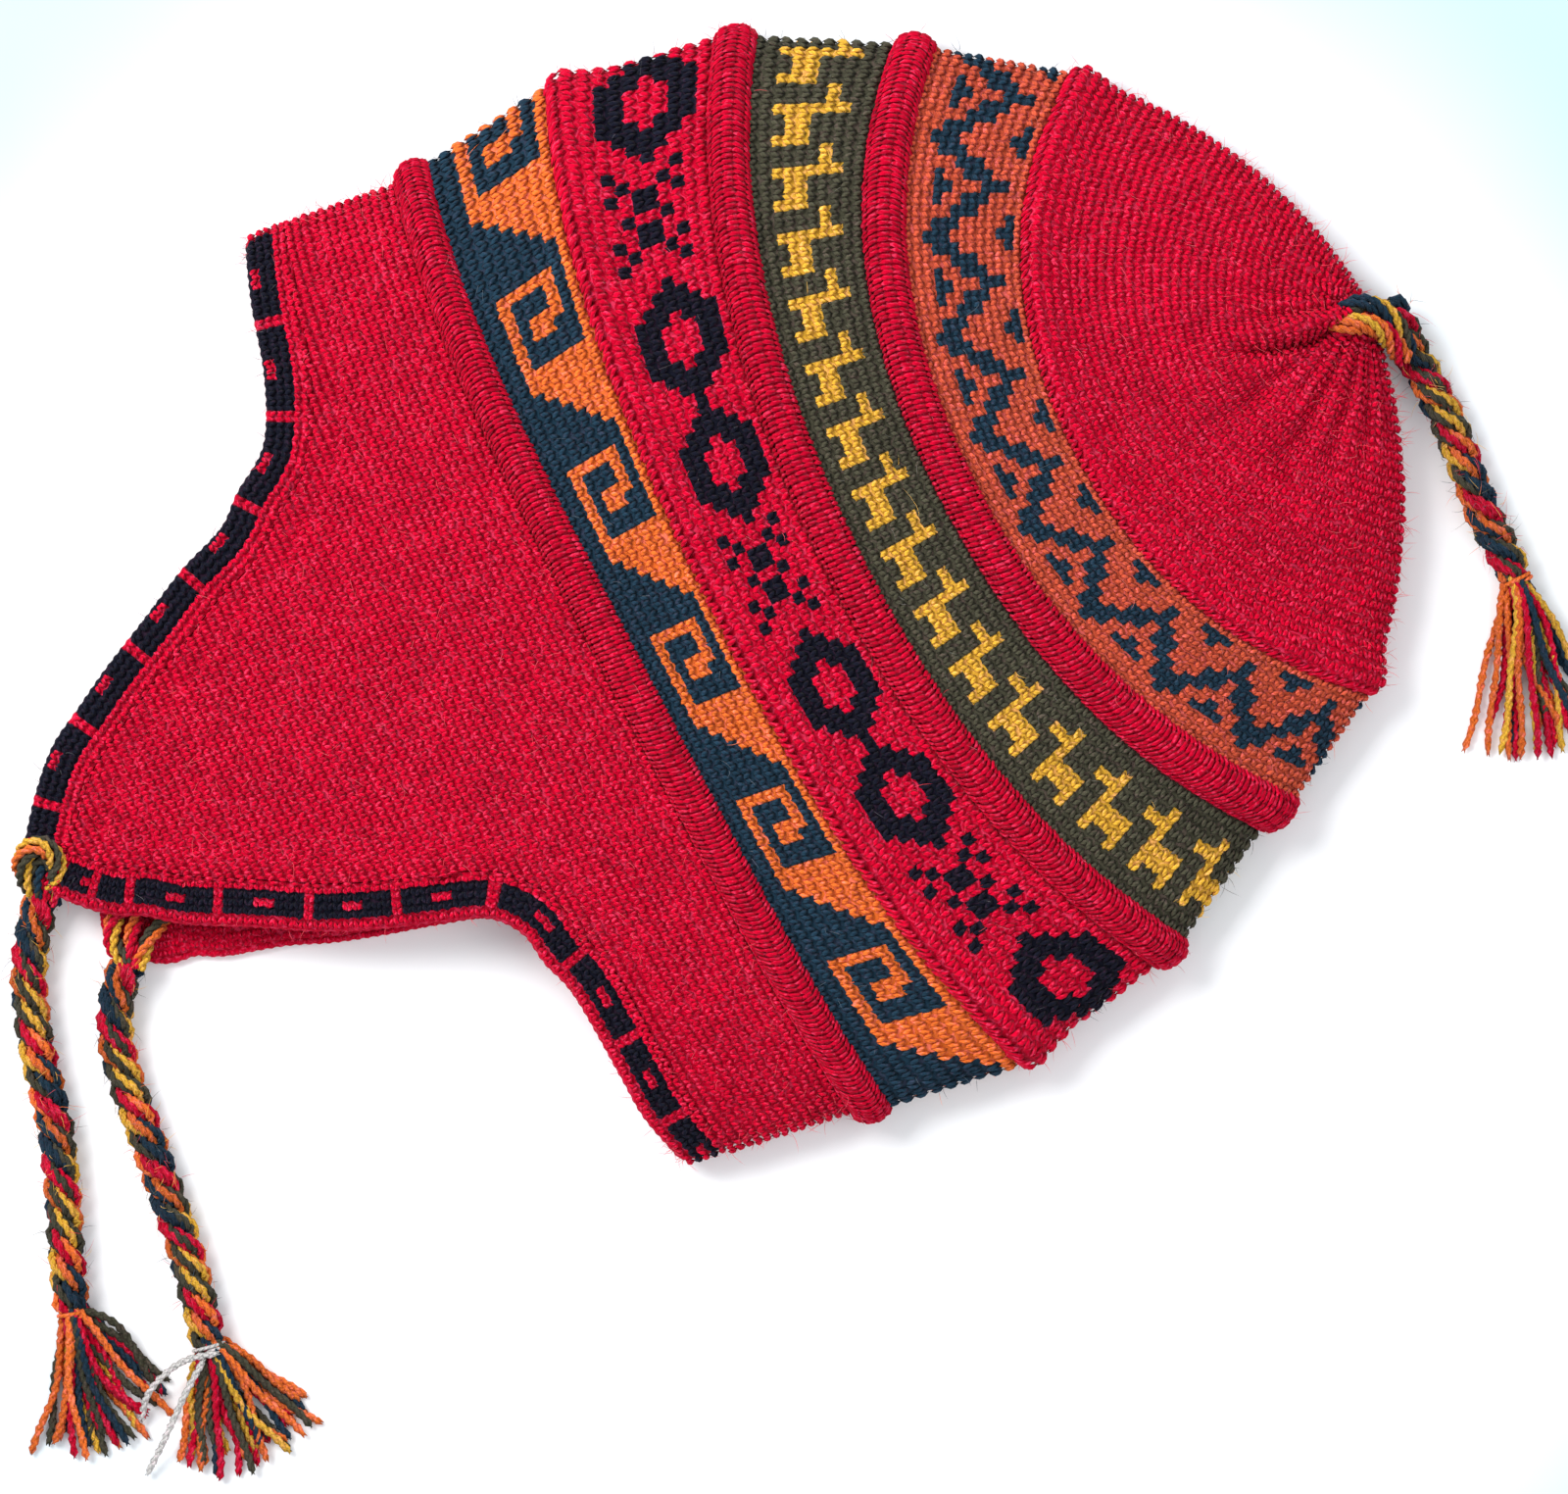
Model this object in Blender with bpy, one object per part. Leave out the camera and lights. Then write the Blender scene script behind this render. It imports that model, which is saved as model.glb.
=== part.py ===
"""Chullo hat: a knitted Andean cap with two ear flaps, two rope ties and a crown braid, lying flat on its side.

Metres, +Z up. +X runs along the hat's axis from the ear flaps to the crown tip and +Y across it. The floor is
z = 0, and the origin is under the middle of the hat without its cords.
"""

import math

import bmesh
import bpy
import numpy as np
from mathutils import Vector

# Driving dimensions: the lengths along the hat's middle, from the flaps to the crown
HAT_WIDTH = 0.2498  # across the widest ring as it lies, half of the way round
FLAP_LENGTH = 0.1067  # from the rim's corners to the tip of an ear flap
SKIRT_DEPTH = 0.0315  # from the rim's corners to the first ridge
RIDGE_WIDTH = 0.0078
WAVE_WIDTH = 0.0200
DIAMOND_WIDTH = 0.0270
LLAMA_WIDTH = 0.0224
ZIGZAG_WIDTH = 0.0240
CROWN_DEPTH = 0.0748
EDGING_WIDTH = 0.0098

# Thickness and heights
WALL = 0.0026  # the knit with its floats
EDGING_WALL = 0.0032
GAP = 0.0003  # left between neighbours
RIDGE_PROUD = 0.0032  # how far a rolled ridge stands out of the bands
LIP_PROUD = 0.0026  # the overhanging first edge of the diamond band and of the crown
FLOOR_PROUD = 0.0010  # what the hat's weight leaves of ridges and lips underneath
RIDGE_UNDER = 0.0004  # how far a ridge stands into the hollow
HAT_HEIGHT = 0.0260  # top of the bands above the floor
EDGE_HEIGHT = 0.0065  # middle of the folded sides above the undersides
RIM_HEIGHT = 0.0205
RIM_EDGE_HEIGHT = 0.0055
FLAP_TIP_HEIGHT = 0.0095
DOME_POWER = 3.0  # how flat the upper layer lies between its folds
FLAT_SHARE = 0.70  # share of the under layer that lies flat
LOWER_FLAP_SHIFT = (0.0105, -0.0210)  # how the tip of the under flap lies against the upper one's
LOWER_FLAP_POWER = 2.5
WALE_STRAIGHT = 0.85  # how nearly the wales of the skirt run straight along the hat
CROWN_BULGE = 0.0078  # how far the crown's sides round out between its edge and the tip
TIP_ACROSS = 0.0069  # the crown tip beside the hat's middle
TIP_RING = 0.0022  # radius of the closed ring at the crown tip

# Ties, braid and tassels
ROPE_DIAMETER = 0.0088
HEAD_RADIUS = 0.0050
LOCK_ROOT = 0.0030
LOCK_TIP = 0.0016

# How finely the lofts are cut
RING_STEPS = 24  # across one layer of a band
RIM_STEPS = 34
CROWN_STEPS = 30
ROPE_SIDES = 3  # bevel resolution of the tubes

HALF = HAT_WIDTH / 2

# The lines between the bands, each length a share of half the hat's width. width and centre say where the line's
# folded ends are, upper and lower how far they sweep towards the crown, lean and flat shape the line between, and
# height is a share of the hat's height.
LINE_COLUMNS = ("name", "width", "centre", "upper", "lower", "lean", "flat", "height")
LINES = (
    ("first_ridge", 0.933, -0.010, -0.012, 0.110, 0.020, 0.038, 0.88),
    ("wave", 0.947, -0.012, -0.010, 0.111, 0.023, 0.042, 0.91),
    ("diamond", 0.982, 0.000, 0.086, 0.202, 0.006, 0.053, 0.98),
    ("second_ridge", 0.927, 0.018, 0.186, 0.280, 0.003, 0.056, 1.00),
    ("llama", 0.902, 0.018, 0.189, 0.281, 0.001, 0.059, 1.00),
    ("third_ridge", 0.781, 0.029, 0.242, 0.309, 0.021, 0.088, 0.98),
    ("zigzag", 0.751, 0.026, 0.240, 0.325, 0.013, 0.070, 0.97),
    ("crown", 0.620, 0.019, 0.260, 0.329, 0.010, 0.099, 0.92),
)

# The rim of one ear flap from fold to fold: across is a share of the rim's half width, out of the flap's length
RIM_ENDS = ((-0.0696, 0.1176), (-0.0576, -0.1149))
FLAP_COLUMNS = ("across", "out")
FLAP = (
    (1.000, 0.000),
    (0.873, 0.045),
    (0.727, 0.087),
    (0.605, 0.151),
    (0.537, 0.247),
    (0.485, 0.312),
    (0.440, 0.425),
    (0.380, 0.542),
    (0.320, 0.662),
    (0.266, 0.758),
    (0.223, 0.833),
    (0.158, 0.903),
    (0.085, 0.965),
    (0.030, 1.000),
    (-0.018, 0.984),
    (-0.082, 0.921),
    (-0.119, 0.869),
    (-0.143, 0.811),
    (-0.185, 0.746),
    (-0.248, 0.602),
    (-0.298, 0.495),
    (-0.337, 0.383),
    (-0.368, 0.269),
    (-0.402, 0.154),
    (-0.460, 0.098),
    (-0.529, 0.083),
    (-0.613, 0.055),
    (-0.790, 0.041),
    (-0.881, 0.035),
    (-0.969, 0.011),
    (-1.000, 0.000),
)

# Folds that run into the crown tip: way is the share of the way round from the upper fold, reach how far down the
# crown they run, width and depth their size, as shares of the way round and of the wall
GATHER_COLUMNS = ("way", "reach", "width", "depth")
GATHERS = (
    (0.060, 0.55, 0.022, 0.55),
    (0.130, 0.70, 0.024, 0.85),
    (0.215, 0.62, 0.024, 0.70),
    (0.300, 0.95, 0.030, 1.35),
    (0.365, 0.60, 0.022, 0.75),
    (0.425, 0.75, 0.022, 0.90),
    (0.470, 0.55, 0.018, 0.60),
    (0.580, 0.60, 0.026, 0.50),
    (0.680, 0.70, 0.026, 0.50),
    (0.790, 0.60, 0.026, 0.50),
    (0.900, 0.65, 0.026, 0.50),
)

# A rolled ridge: along is a share of its width, and out of its radius from its middle
ROLL = (
    (0.00, 0.00),
    (0.12, 0.66),
    (0.34, 1.00),
    (0.66, 1.00),
    (0.88, 0.66),
    (1.00, 0.00),
    (0.80, -1.00),
    (0.20, -1.00),
)

# The ropes as they lie, from where they leave the hat to their tassels
ROPES = {
    "upper_tie": (
        (-0.1637, -0.0010, 0.0058),
        (-0.1653, -0.0036, 0.0054),
        (-0.1681, -0.0072, 0.0050),
        (-0.1721, -0.0133, 0.0046),
        (-0.1755, -0.0203, 0.0046),
        (-0.1778, -0.0278, 0.0046),
        (-0.1796, -0.0355, 0.0046),
        (-0.1809, -0.0445, 0.0046),
        (-0.1825, -0.0535, 0.0046),
        (-0.1853, -0.0632, 0.0046),
        (-0.1885, -0.0727, 0.0046),
        (-0.1917, -0.0821, 0.0046),
        (-0.1939, -0.0897, 0.0046),
    ),
    "lower_tie": (
        (-0.1508, -0.0231, 0.0046),
        (-0.1556, -0.0274, 0.0046),
        (-0.1593, -0.0330, 0.0046),
        (-0.1619, -0.0392, 0.0046),
        (-0.1632, -0.0458, 0.0046),
        (-0.1637, -0.0529, 0.0046),
        (-0.1640, -0.0611, 0.0046),
        (-0.1643, -0.0694, 0.0046),
        (-0.1648, -0.0776, 0.0046),
        (-0.1653, -0.0859, 0.0046),
        (-0.1663, -0.0939, 0.0046),
        (-0.1674, -0.1018, 0.0046),
        (-0.1685, -0.1086, 0.0046),
    ),
    "crown_braid": (
        (0.1682, 0.0046, 0.0075),
        (0.1700, 0.0012, 0.0066),
        (0.1701, -0.0076, 0.0056),
        (0.1710, -0.0147, 0.0049),
        (0.1716, -0.0234, 0.0046),
        (0.1717, -0.0318, 0.0046),
        (0.1713, -0.0413, 0.0046),
        (0.1714, -0.0498, 0.0046),
        (0.1722, -0.0585, 0.0046),
        (0.1723, -0.0610, 0.0046),
    ),
}
# Tassels: the rope that each one ends, the way that its locks fan out, from +X towards +Y, and each lock's turn from
# it and its length
TASSELS = {
    "upper_tassel": (
        "upper_tie",
        -98.0,
        ((-34, 0.030), (-18, 0.033), (-4, 0.033), (10, 0.034), (24, 0.032), (38, 0.029)),
    ),
    "lower_tassel": (
        "lower_tie",
        -84.0,
        ((-44, 0.030), (-28, 0.032), (-10, 0.032), (8, 0.032), (26, 0.032), (42, 0.030)),
    ),
    "crown_tassel": (
        "crown_braid",
        -104.0,
        ((-34, 0.032), (-20, 0.034), (-6, 0.034), (8, 0.036), (22, 0.040), (35, 0.034)),
    ),
}

RED = (0.53, 0.005, 0.027)
BLACK = (0.011, 0.012, 0.021)
TEAL = (0.016, 0.045, 0.075)
OLIVE = (0.075, 0.072, 0.046)
RUST = (0.66, 0.10, 0.045)
ORANGE = (0.90, 0.20, 0.035)


def material(name, colour):
    """A matt wool material of one colour."""
    made = bpy.data.materials.new(name)
    made.use_nodes = True
    shader = made.node_tree.nodes["Principled BSDF"]
    shader.inputs["Base Color"].default_value = (*colour, 1.0)
    shader.inputs["Roughness"].default_value = 0.9
    shader.inputs["Metallic"].default_value = 0.0
    return made


def place(name, mesh, colour, collection):
    """Puts a mesh in the hat's collection as a node with its own material."""
    mesh.materials.clear()
    mesh.materials.append(material(name, colour))
    mesh.shade_smooth()
    made = bpy.data.objects.new(name, mesh)
    collection.objects.link(made)
    return made


# The lying form


def line_at(place_on):
    """The shape of the line at a place between two rows of LINES, 0 for the first row."""
    rows = np.array([row[1:] for row in LINES])
    low = int(min(max(math.floor(place_on), 0), len(rows) - 2))
    share = place_on - low
    values = rows[low] * (1 - share) + rows[low + 1] * share
    return dict(zip(LINE_COLUMNS[1:], values))


def middles():
    """Where each line of LINES crosses the hat's middle, measured from the rim's corners."""
    widths = (SKIRT_DEPTH, RIDGE_WIDTH, WAVE_WIDTH, DIAMOND_WIDTH, RIDGE_WIDTH, LLAMA_WIDTH, RIDGE_WIDTH, ZIGZAG_WIDTH)
    return np.cumsum(widths) + (RIM_ENDS[0][0] + RIM_ENDS[1][0]) / 2


def line_point(place_on, across):
    """A point of a line in plan: across is 0 at the upper fold and 1 at the lower one."""
    line = line_at(place_on)
    middle = np.interp(place_on, np.arange(len(LINES)), middles())
    upper, lower = line["upper"] * HALF, line["lower"] * HALF
    flat, lean = line["flat"] * HALF, line["lean"] * HALF
    bow = -(upper + lower) / 2 - flat
    arch = 4 * across * (1 - across)
    x = middle + upper * (1 - across) + lower * across + bow * arch + lean * arch * (2 * across - 1) + flat * arch**2
    y = (line["centre"] + line["width"] * (1 - 2 * across)) * HALF
    return x, y


def split(way):
    """Turns the share of the way round into the layer, upper or not, and the place across it, dense at the folds."""
    upper = way <= 0.5
    run = 2 * way if upper else 2 - 2 * way
    return upper, 0.75 * (1 - math.cos(math.pi * run)) / 2 + 0.25 * run


def height(upper, across, top, edge, floor, close=1.0):
    """The height of a layer's outer face. close runs from 1 to 0 where the layers close on each other."""
    side = min(abs(1 - 2 * across), 1.0)
    if upper:
        return floor + edge + (top - edge - floor) * (1 - side**DOME_POWER) ** 0.45 * close
    bend = max(0.0, (side - FLAT_SHARE) / (1 - FLAT_SHARE))
    return floor + edge * (1 - math.sqrt(max(0.0, 1 - bend**2)) * close)


def band_point(place_on, way):
    """A point on the outer face of the banded body."""
    upper, across = split(way)
    x, y = line_point(place_on, across)
    top = line_at(place_on)["height"] * HAT_HEIGHT
    return np.array((x, y, height(upper, across, top, EDGE_HEIGHT, FLOOR_PROUD)))


def crown_point(rise, way):
    """A point on the crown, rise from 0 at its lower edge to 1 at the tip."""
    upper, across = split(way)
    x, y = line_point(len(LINES) - 1, across)
    tip_x, tip_y = middles()[-1] + CROWN_DEPTH, TIP_ACROSS
    side = 1 - 2 * across
    swell = 4 * rise * (1 - rise) * CROWN_BULGE * side**2
    shrink = 1 - rise + rise * TIP_RING / HALF
    x = tip_x + (x - tip_x) * shrink + 0.90 * swell
    y = tip_y + (y - tip_y) * shrink + 0.42 * swell * (1 if side > 0 else -1)
    close = math.sqrt(max(0.0, 1 - (0.985 * rise) ** 4))
    z = height(upper, across, LINES[-1][-1] * HAT_HEIGHT, EDGE_HEIGHT, FLOOR_PROUD, close)
    return np.array((x, y, z))


def rim_curve(lower):
    """The rim of one layer as fine rows of x, y and across, and each row's share of its length."""
    (x0, y0), (x1, y1) = RIM_ENDS
    knots = []
    for across, out in FLAP:
        y = (y0 + y1) / 2 + across * (y0 - y1) / 2
        x = x0 + (x1 - x0) * (y0 - y) / (y0 - y1) - out * FLAP_LENGTH
        if lower:
            x += LOWER_FLAP_SHIFT[0] * out**LOWER_FLAP_POWER
            y += LOWER_FLAP_SHIFT[1] * out**LOWER_FLAP_POWER
        knots.append((x, y, across))
    fine = smooth_run(np.array(knots), 12)
    along = np.concatenate([[0], np.cumsum(np.linalg.norm(np.diff(fine[:, :2], axis=0), axis=1))])
    return fine, along / along[-1]


def smooth_run(knots, steps):
    """Points along a Catmull-Rom curve through knots, in any number of dimensions."""
    padded = np.vstack([2 * knots[0] - knots[1], knots, 2 * knots[-1] - knots[-2]])
    run = []
    for a, b, c, d in zip(padded[:-3], padded[1:-2], padded[2:-1], padded[3:]):
        for k in range(steps):
            t = k / steps
            run.append(0.5 * (2 * b + (c - a) * t + (2 * a - 5 * b + 4 * c - d) * t**2 + (3 * b - a - 3 * c + d) * t**3))
    run.append(knots[-1])
    return np.array(run)


RIMS = (rim_curve(False), rim_curve(True))


def rim_point(across, lower, inset):
    """A point of the rim in plan, moved in from it by inset."""
    points, shares = RIMS[1 if lower else 0]
    step = 0.018
    at = [np.array([np.interp(s, shares, points[:, k]) for k in (0, 1)]) for s in (across, across - step, across + step)]
    back, ahead = (at[1] if across - step > 0 else at[0]), (at[2] if across + step < 1 else at[0])
    along = (ahead - back) / np.linalg.norm(ahead - back)
    inward = np.array((-along[1], along[0]))
    near_fold = min(1.0, across / 0.08, (1 - across) / 0.08)
    inward = np.array((inward[0], inward[1] * near_fold))
    return at[0] + inward / np.linalg.norm(inward) * inset


def wale(across, lower):
    """The place across the first ridge whose wale of stitches ends at a place along the rim."""
    points, shares = RIMS[1 if lower else 0]
    return WALE_STRAIGHT * (1 - np.interp(across, shares, points[:, 2])) / 2 + (1 - WALE_STRAIGHT) * across


def skirt_point(down, way, inset=EDGING_WIDTH):
    """A point below the first ridge, down from 0 at the ridge to 1 at the edging's seam."""
    upper, across = split(way)
    ax, ay = line_point(0, wale(across, not upper))
    rx, ry = rim_point(across, not upper, inset)
    x, y = ax + (rx - ax) * down, ay + (ry - ay) * down
    ridge_x = line_point(0, 0.5)[0]
    corner_x = (RIM_ENDS[0][0] + RIM_ENDS[1][0]) / 2
    skirt_share = min(1.0, max(0.0, (ridge_x - x) / (ridge_x - corner_x)))
    flap_share = min(1.0, max(0.0, (corner_x - x) / FLAP_LENGTH))
    fold_x0, fold_y0 = line_point(0, 0.0)
    fold_x1, fold_y1 = line_point(0, 1.0)
    share0 = min(1.0, max(0.0, (fold_x0 - x) / (fold_x0 - RIM_ENDS[0][0])))
    share1 = min(1.0, max(0.0, (fold_x1 - x) / (fold_x1 - RIM_ENDS[1][0])))
    upper_y = fold_y0 + (RIM_ENDS[0][1] - fold_y0) * share0
    lower_y = fold_y1 + (RIM_ENDS[1][1] - fold_y1) * share1
    place_across = min(1.0, max(0.0, (upper_y - y) / (upper_y - lower_y)))
    if across in (0.0, 1.0):
        place_across = across
    ridge_top = LINES[0][-1] * HAT_HEIGHT
    top = ridge_top + (RIM_HEIGHT - ridge_top) * skirt_share + (FLAP_TIP_HEIGHT - RIM_HEIGHT) * flap_share
    edge = EDGE_HEIGHT + (RIM_EDGE_HEIGHT - EDGE_HEIGHT) * skirt_share
    return np.array((x, y, height(upper, place_across, top, edge, FLOOR_PROUD * (1 - skirt_share))))


def edging_point(out, way):
    """A point on the edging, out from 0 at its seam to 1 at the rim."""
    return skirt_point(1.0, way, EDGING_WIDTH * (1 - out))


def outward(surface, along, way, sense):
    """The outward normal of a surface, from the points round about. sense is -1 if along runs from the crown."""
    step_along, step_way = 0.02, 0.004
    a = surface(along + step_along, way) - surface(along - step_along, way)
    b = surface(along, (way + step_way) % 1) - surface(along, (way - step_way) % 1)
    normal = np.cross(b, a) * sense
    normal = normal / np.linalg.norm(normal)
    side = 1 if split(way)[0] else -1
    return -normal if normal[2] * side < -0.3 else normal


def lifted(surface, along, way, out, sense=1):
    """A point that stands out of a surface, or in from it, along its normal."""
    return surface(along, way) + outward(surface, along, way, sense) * out


def flattened(way, proud):
    """How far a ridge or lip stands out at a place round the hat: less where the hat lies on it."""
    upper, across = split(way)
    if upper:
        return proud
    bend = max(0.0, (abs(1 - 2 * across) - FLAT_SHARE) / (1 - FLAT_SHARE))
    return FLOOR_PROUD + (proud - FLOOR_PROUD) * bend**2


# Lofts


def ways(steps):
    """The places round the hat that a loft is cut at, even from fold to fold on each layer."""
    return [k / (2 * steps) for k in range(2 * steps)]


def loft_ring(name, loops):
    """A closed wall round the hat: each loop is its profile at one place, and every loop is joined to the next."""
    count, size = len(loops), len(loops[0])
    points = [tuple(p) for loop in loops for p in loop]
    faces = []
    for j in range(count):
        for i in range(size):
            here, there = j * size, (j + 1) % count * size
            after = (i + 1) % size
            faces.append((here + i, here + after, there + after, there + i))
    return solid(name, points, faces)


def solid(name, points, faces):
    """A mesh from a loft's points and faces, with its faces turned outwards."""
    mesh = bpy.data.meshes.new(name)
    mesh.from_pydata(points, [], faces)
    work = bmesh.new()
    work.from_mesh(mesh)
    bmesh.ops.recalc_face_normals(work, faces=work.faces)
    if work.calc_volume(signed=True) < 0:
        bmesh.ops.reverse_faces(work, faces=work.faces)
    work.to_mesh(mesh)
    work.free()
    return mesh


def band(name, first, width, lip=0.0):
    """A flat band of knit between two lines, with an overhanging first edge if it has a lip."""
    inset = GAP / width
    outer = [(inset, 0.0), (0.5, 0.0), (1 - inset, 0.0)]
    if lip:
        outer = [(inset, 0.0), (0.035, 0.85), (0.09, 1.0), (0.20, 0.5), (0.36, 0.0), (0.7, 0.0), (1 - inset, 0.0)]
    loops = []
    for way in ways(RING_STEPS):
        proud = flattened(way, lip) if lip else 0.0
        loop = [lifted(band_point, first + share, way, proud * out) for share, out in outer]
        loop += [lifted(band_point, first + share, way, -WALL) for share in (1 - inset, 0.5, inset)]
        loops.append(loop)
    return loft_ring(name, loops)


def ridge(name, first):
    """A roll of knit between two bands."""
    inset = GAP / RIDGE_WIDTH
    loops = []
    for way in ways(RING_STEPS):
        proud = flattened(way, RIDGE_PROUD)
        under = WALL + RIDGE_UNDER
        middle, radius = (proud - under) / 2, (proud + under) / 2
        loops.append(
            [
                lifted(band_point, first + inset + (1 - 2 * inset) * along, way, middle + radius * out)
                for along, out in ROLL
            ]
        )
    return loft_ring(name, loops)


def skirt(name):
    """The plain part with both ear flaps, from the first ridge to the edging's seam."""
    top_inset, seam_inset = GAP / SKIRT_DEPTH, EDGING_WIDTH + 2.5 * GAP
    downs = (top_inset, 0.25, 0.5, 0.75)
    loops = []
    for way in ways(RIM_STEPS):

        def surface(down, place_on):
            return skirt_point(down, place_on, seam_inset)

        seam, seam_normal = surface(1.0, way), outward(edging_point, 0.0, way, -1)
        loop = [lifted(surface, down, way, 0.0, -1) for down in downs]
        loop += [seam, seam - seam_normal * WALL]
        loop += [lifted(surface, down, way, -WALL, -1) for down in reversed(downs)]
        loops.append(loop)
    return loft_ring(name, loops)


def edging(name):
    """The thicker band along the rim, rounded at the very edge."""
    profile = (
        (0.00, 0.0),
        (0.60, 0.0),
        (0.93, -0.12),
        (1.00, -0.5),
        (0.93, -0.88),
        (0.60, -1.0),
        (0.00, -WALL / EDGING_WALL),
    )
    loops = []
    for way in ways(RIM_STEPS):
        loops.append([lifted(edging_point, out, way, deep * EDGING_WALL, -1) for out, deep in profile])
    return loft_ring(name, loops)


def gathered(rise, way):
    """How deep the folds at the crown tip are at a place on the crown."""
    depth = 0.0
    for row in GATHERS:
        fold = dict(zip(GATHER_COLUMNS, row))
        start = 1 - fold["reach"]
        if rise > start:
            off = abs((way - fold["way"] + 0.5) % 1 - 0.5) / fold["width"]
            depth += WALL * fold["depth"] * math.exp(-(off**2)) * math.sin(math.pi * (rise - start) / (1.06 - start))
    return depth


def crown(name):
    """The crown cap, rolled at its lower edge, gathered at its tip and closed there."""
    edge_profile = ((0.004, 0.0), (0.014, 0.85), (0.036, 1.0), (0.075, 0.55), (0.130, 0.0))
    rises = (0.25, 0.40, 0.55, 0.68, 0.80, 0.90, 0.97)
    places = ways(CROWN_STEPS)
    outer, inner = [], []
    for rise, lip in edge_profile + tuple((rise, 0.0) for rise in rises):
        outer.append([lifted(crown_point, rise, w, flattened(w, LIP_PROUD) * lip - gathered(rise, w)) for w in places])
    for rise in (0.004, 0.25, 0.55, 0.80, 0.90):
        inner.append([lifted(crown_point, rise, w, -WALL - gathered(rise, w)) for w in places])
    rings = outer[::-1] + inner
    size = len(places)
    points = [tuple(p) for ring in rings for p in ring]
    faces = []
    for i in range(len(rings) - 1):
        for j in range(size):
            after = (j + 1) % size
            faces.append((i * size + j, i * size + after, (i + 1) * size + after, (i + 1) * size + j))
    for first in (0, (len(rings) - 1) * size):
        middle = np.mean(points[first : first + size], axis=0)
        points.append(tuple(middle))
        for j in range(size):
            faces.append((first + j, first + (j + 1) % size, len(points) - 1))
    return solid(name, points, faces)


# Ropes and tassels


def rope(name, collection):
    """A tie or braid as one round tube along its route."""
    knots = np.array(ROPES[name])
    fine = smooth_run(knots, 12)
    along = np.concatenate([[0], np.cumsum(np.linalg.norm(np.diff(fine, axis=0), axis=1))])
    count = max(8, round(along[-1] / (ROPE_DIAMETER * 0.8)))
    at = np.linspace(0, along[-1], count)
    curve = bpy.data.curves.new(name, "CURVE")
    curve.dimensions = "3D"
    curve.bevel_depth = ROPE_DIAMETER / 2
    curve.bevel_resolution = ROPE_SIDES
    curve.use_fill_caps = True
    spline = curve.splines.new("POLY")
    spline.points.add(count - 1)
    for point, s in zip(spline.points, at):
        point.co = (*(np.interp(s, along, fine[:, k]) for k in range(3)), 1.0)
    curve.materials.append(material(name, ORANGE))
    made = bpy.data.objects.new(name, curve)
    collection.objects.link(made)
    return made


def lock(start, turn, length, tip_height):
    """One lock of a tassel as a tapered six-sided cone that leans down to the floor."""
    heading = Vector((math.cos(turn), math.sin(turn), 0.0))
    end = start + heading * length
    end.z = tip_height
    way = end - start
    work = bmesh.new()
    bmesh.ops.create_cone(
        work, cap_ends=True, segments=6, radius1=LOCK_ROOT, radius2=LOCK_TIP, depth=way.length
    )
    work.transform(way.to_track_quat("Z", "Y").to_matrix().to_4x4())
    bmesh.ops.translate(work, verts=work.verts, vec=start + way / 2)
    mesh = bpy.data.meshes.new("lock")
    work.to_mesh(mesh)
    work.free()
    return bpy.data.objects.new("lock", mesh)


def tassel(name, collection, cutters):
    """A round head with locks of yarn fused to it, past the end of its rope."""
    rope_name, heading, locks = TASSELS[name]
    route = np.array(ROPES[rope_name])
    end, run = Vector(route[-1]), Vector(route[-1] - route[-2]).normalized()
    centre = end + run * (HEAD_RADIUS + GAP)
    centre.z = HEAD_RADIUS
    work = bmesh.new()
    bmesh.ops.create_uvsphere(work, u_segments=10, v_segments=7, radius=HEAD_RADIUS)
    bmesh.ops.translate(work, verts=work.verts, vec=centre)
    mesh = bpy.data.meshes.new(name)
    work.to_mesh(mesh)
    work.free()
    made = place(name, mesh, ORANGE, collection)
    for turn, length in locks:
        angle = math.radians(heading + turn)
        piece = lock(centre, angle, length, LOCK_TIP + 0.0002)
        cutters.objects.link(piece)
        piece.hide_render = True
        piece.display_type = "WIRE"
        join = made.modifiers.new("lock", "BOOLEAN")
        join.operation = "UNION"
        join.object = piece
    return made


def centre_on_origin(parts):
    """Moves the hat without its cords so that the middle of its box is over the origin."""
    low = np.min([[v.co[k] for k in (0, 1)] for part in parts for v in part.data.vertices], axis=0)
    high = np.max([[v.co[k] for k in (0, 1)] for part in parts for v in part.data.vertices], axis=0)
    floor = min(v.co.z for part in parts for v in part.data.vertices)
    move = Vector((-(low[0] + high[0]) / 2, -(low[1] + high[1]) / 2, -floor))
    for part in parts:
        for v in part.data.vertices:
            v.co += move


def build():
    """Makes the whole hat."""
    for old in list(bpy.data.objects):
        bpy.data.objects.remove(old)
    collection = bpy.data.collections.new("chullo_hat")
    cutters = bpy.data.collections.new("cutters")
    bpy.context.scene.collection.children.link(collection)
    bpy.context.scene.collection.children.link(cutters)
    hat = [
        place("edging", edging("edging"), BLACK, collection),
        place("ear_flap_skirt", skirt("ear_flap_skirt"), RED, collection),
        place("first_ridge", ridge("first_ridge", 0), RED, collection),
        place("wave_band", band("wave_band", 1, WAVE_WIDTH), TEAL, collection),
        place("diamond_band", band("diamond_band", 2, DIAMOND_WIDTH, LIP_PROUD), RED, collection),
        place("second_ridge", ridge("second_ridge", 3), RED, collection),
        place("llama_band", band("llama_band", 4, LLAMA_WIDTH), OLIVE, collection),
        place("third_ridge", ridge("third_ridge", 5), RED, collection),
        place("zigzag_band", band("zigzag_band", 6, ZIGZAG_WIDTH), RUST, collection),
        place("crown_cap", crown("crown_cap"), RED, collection),
    ]
    centre_on_origin(hat)
    for name in ROPES:
        rope(name, collection)
    for name in TASSELS:
        tassel(name, collection, cutters)


build()
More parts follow.
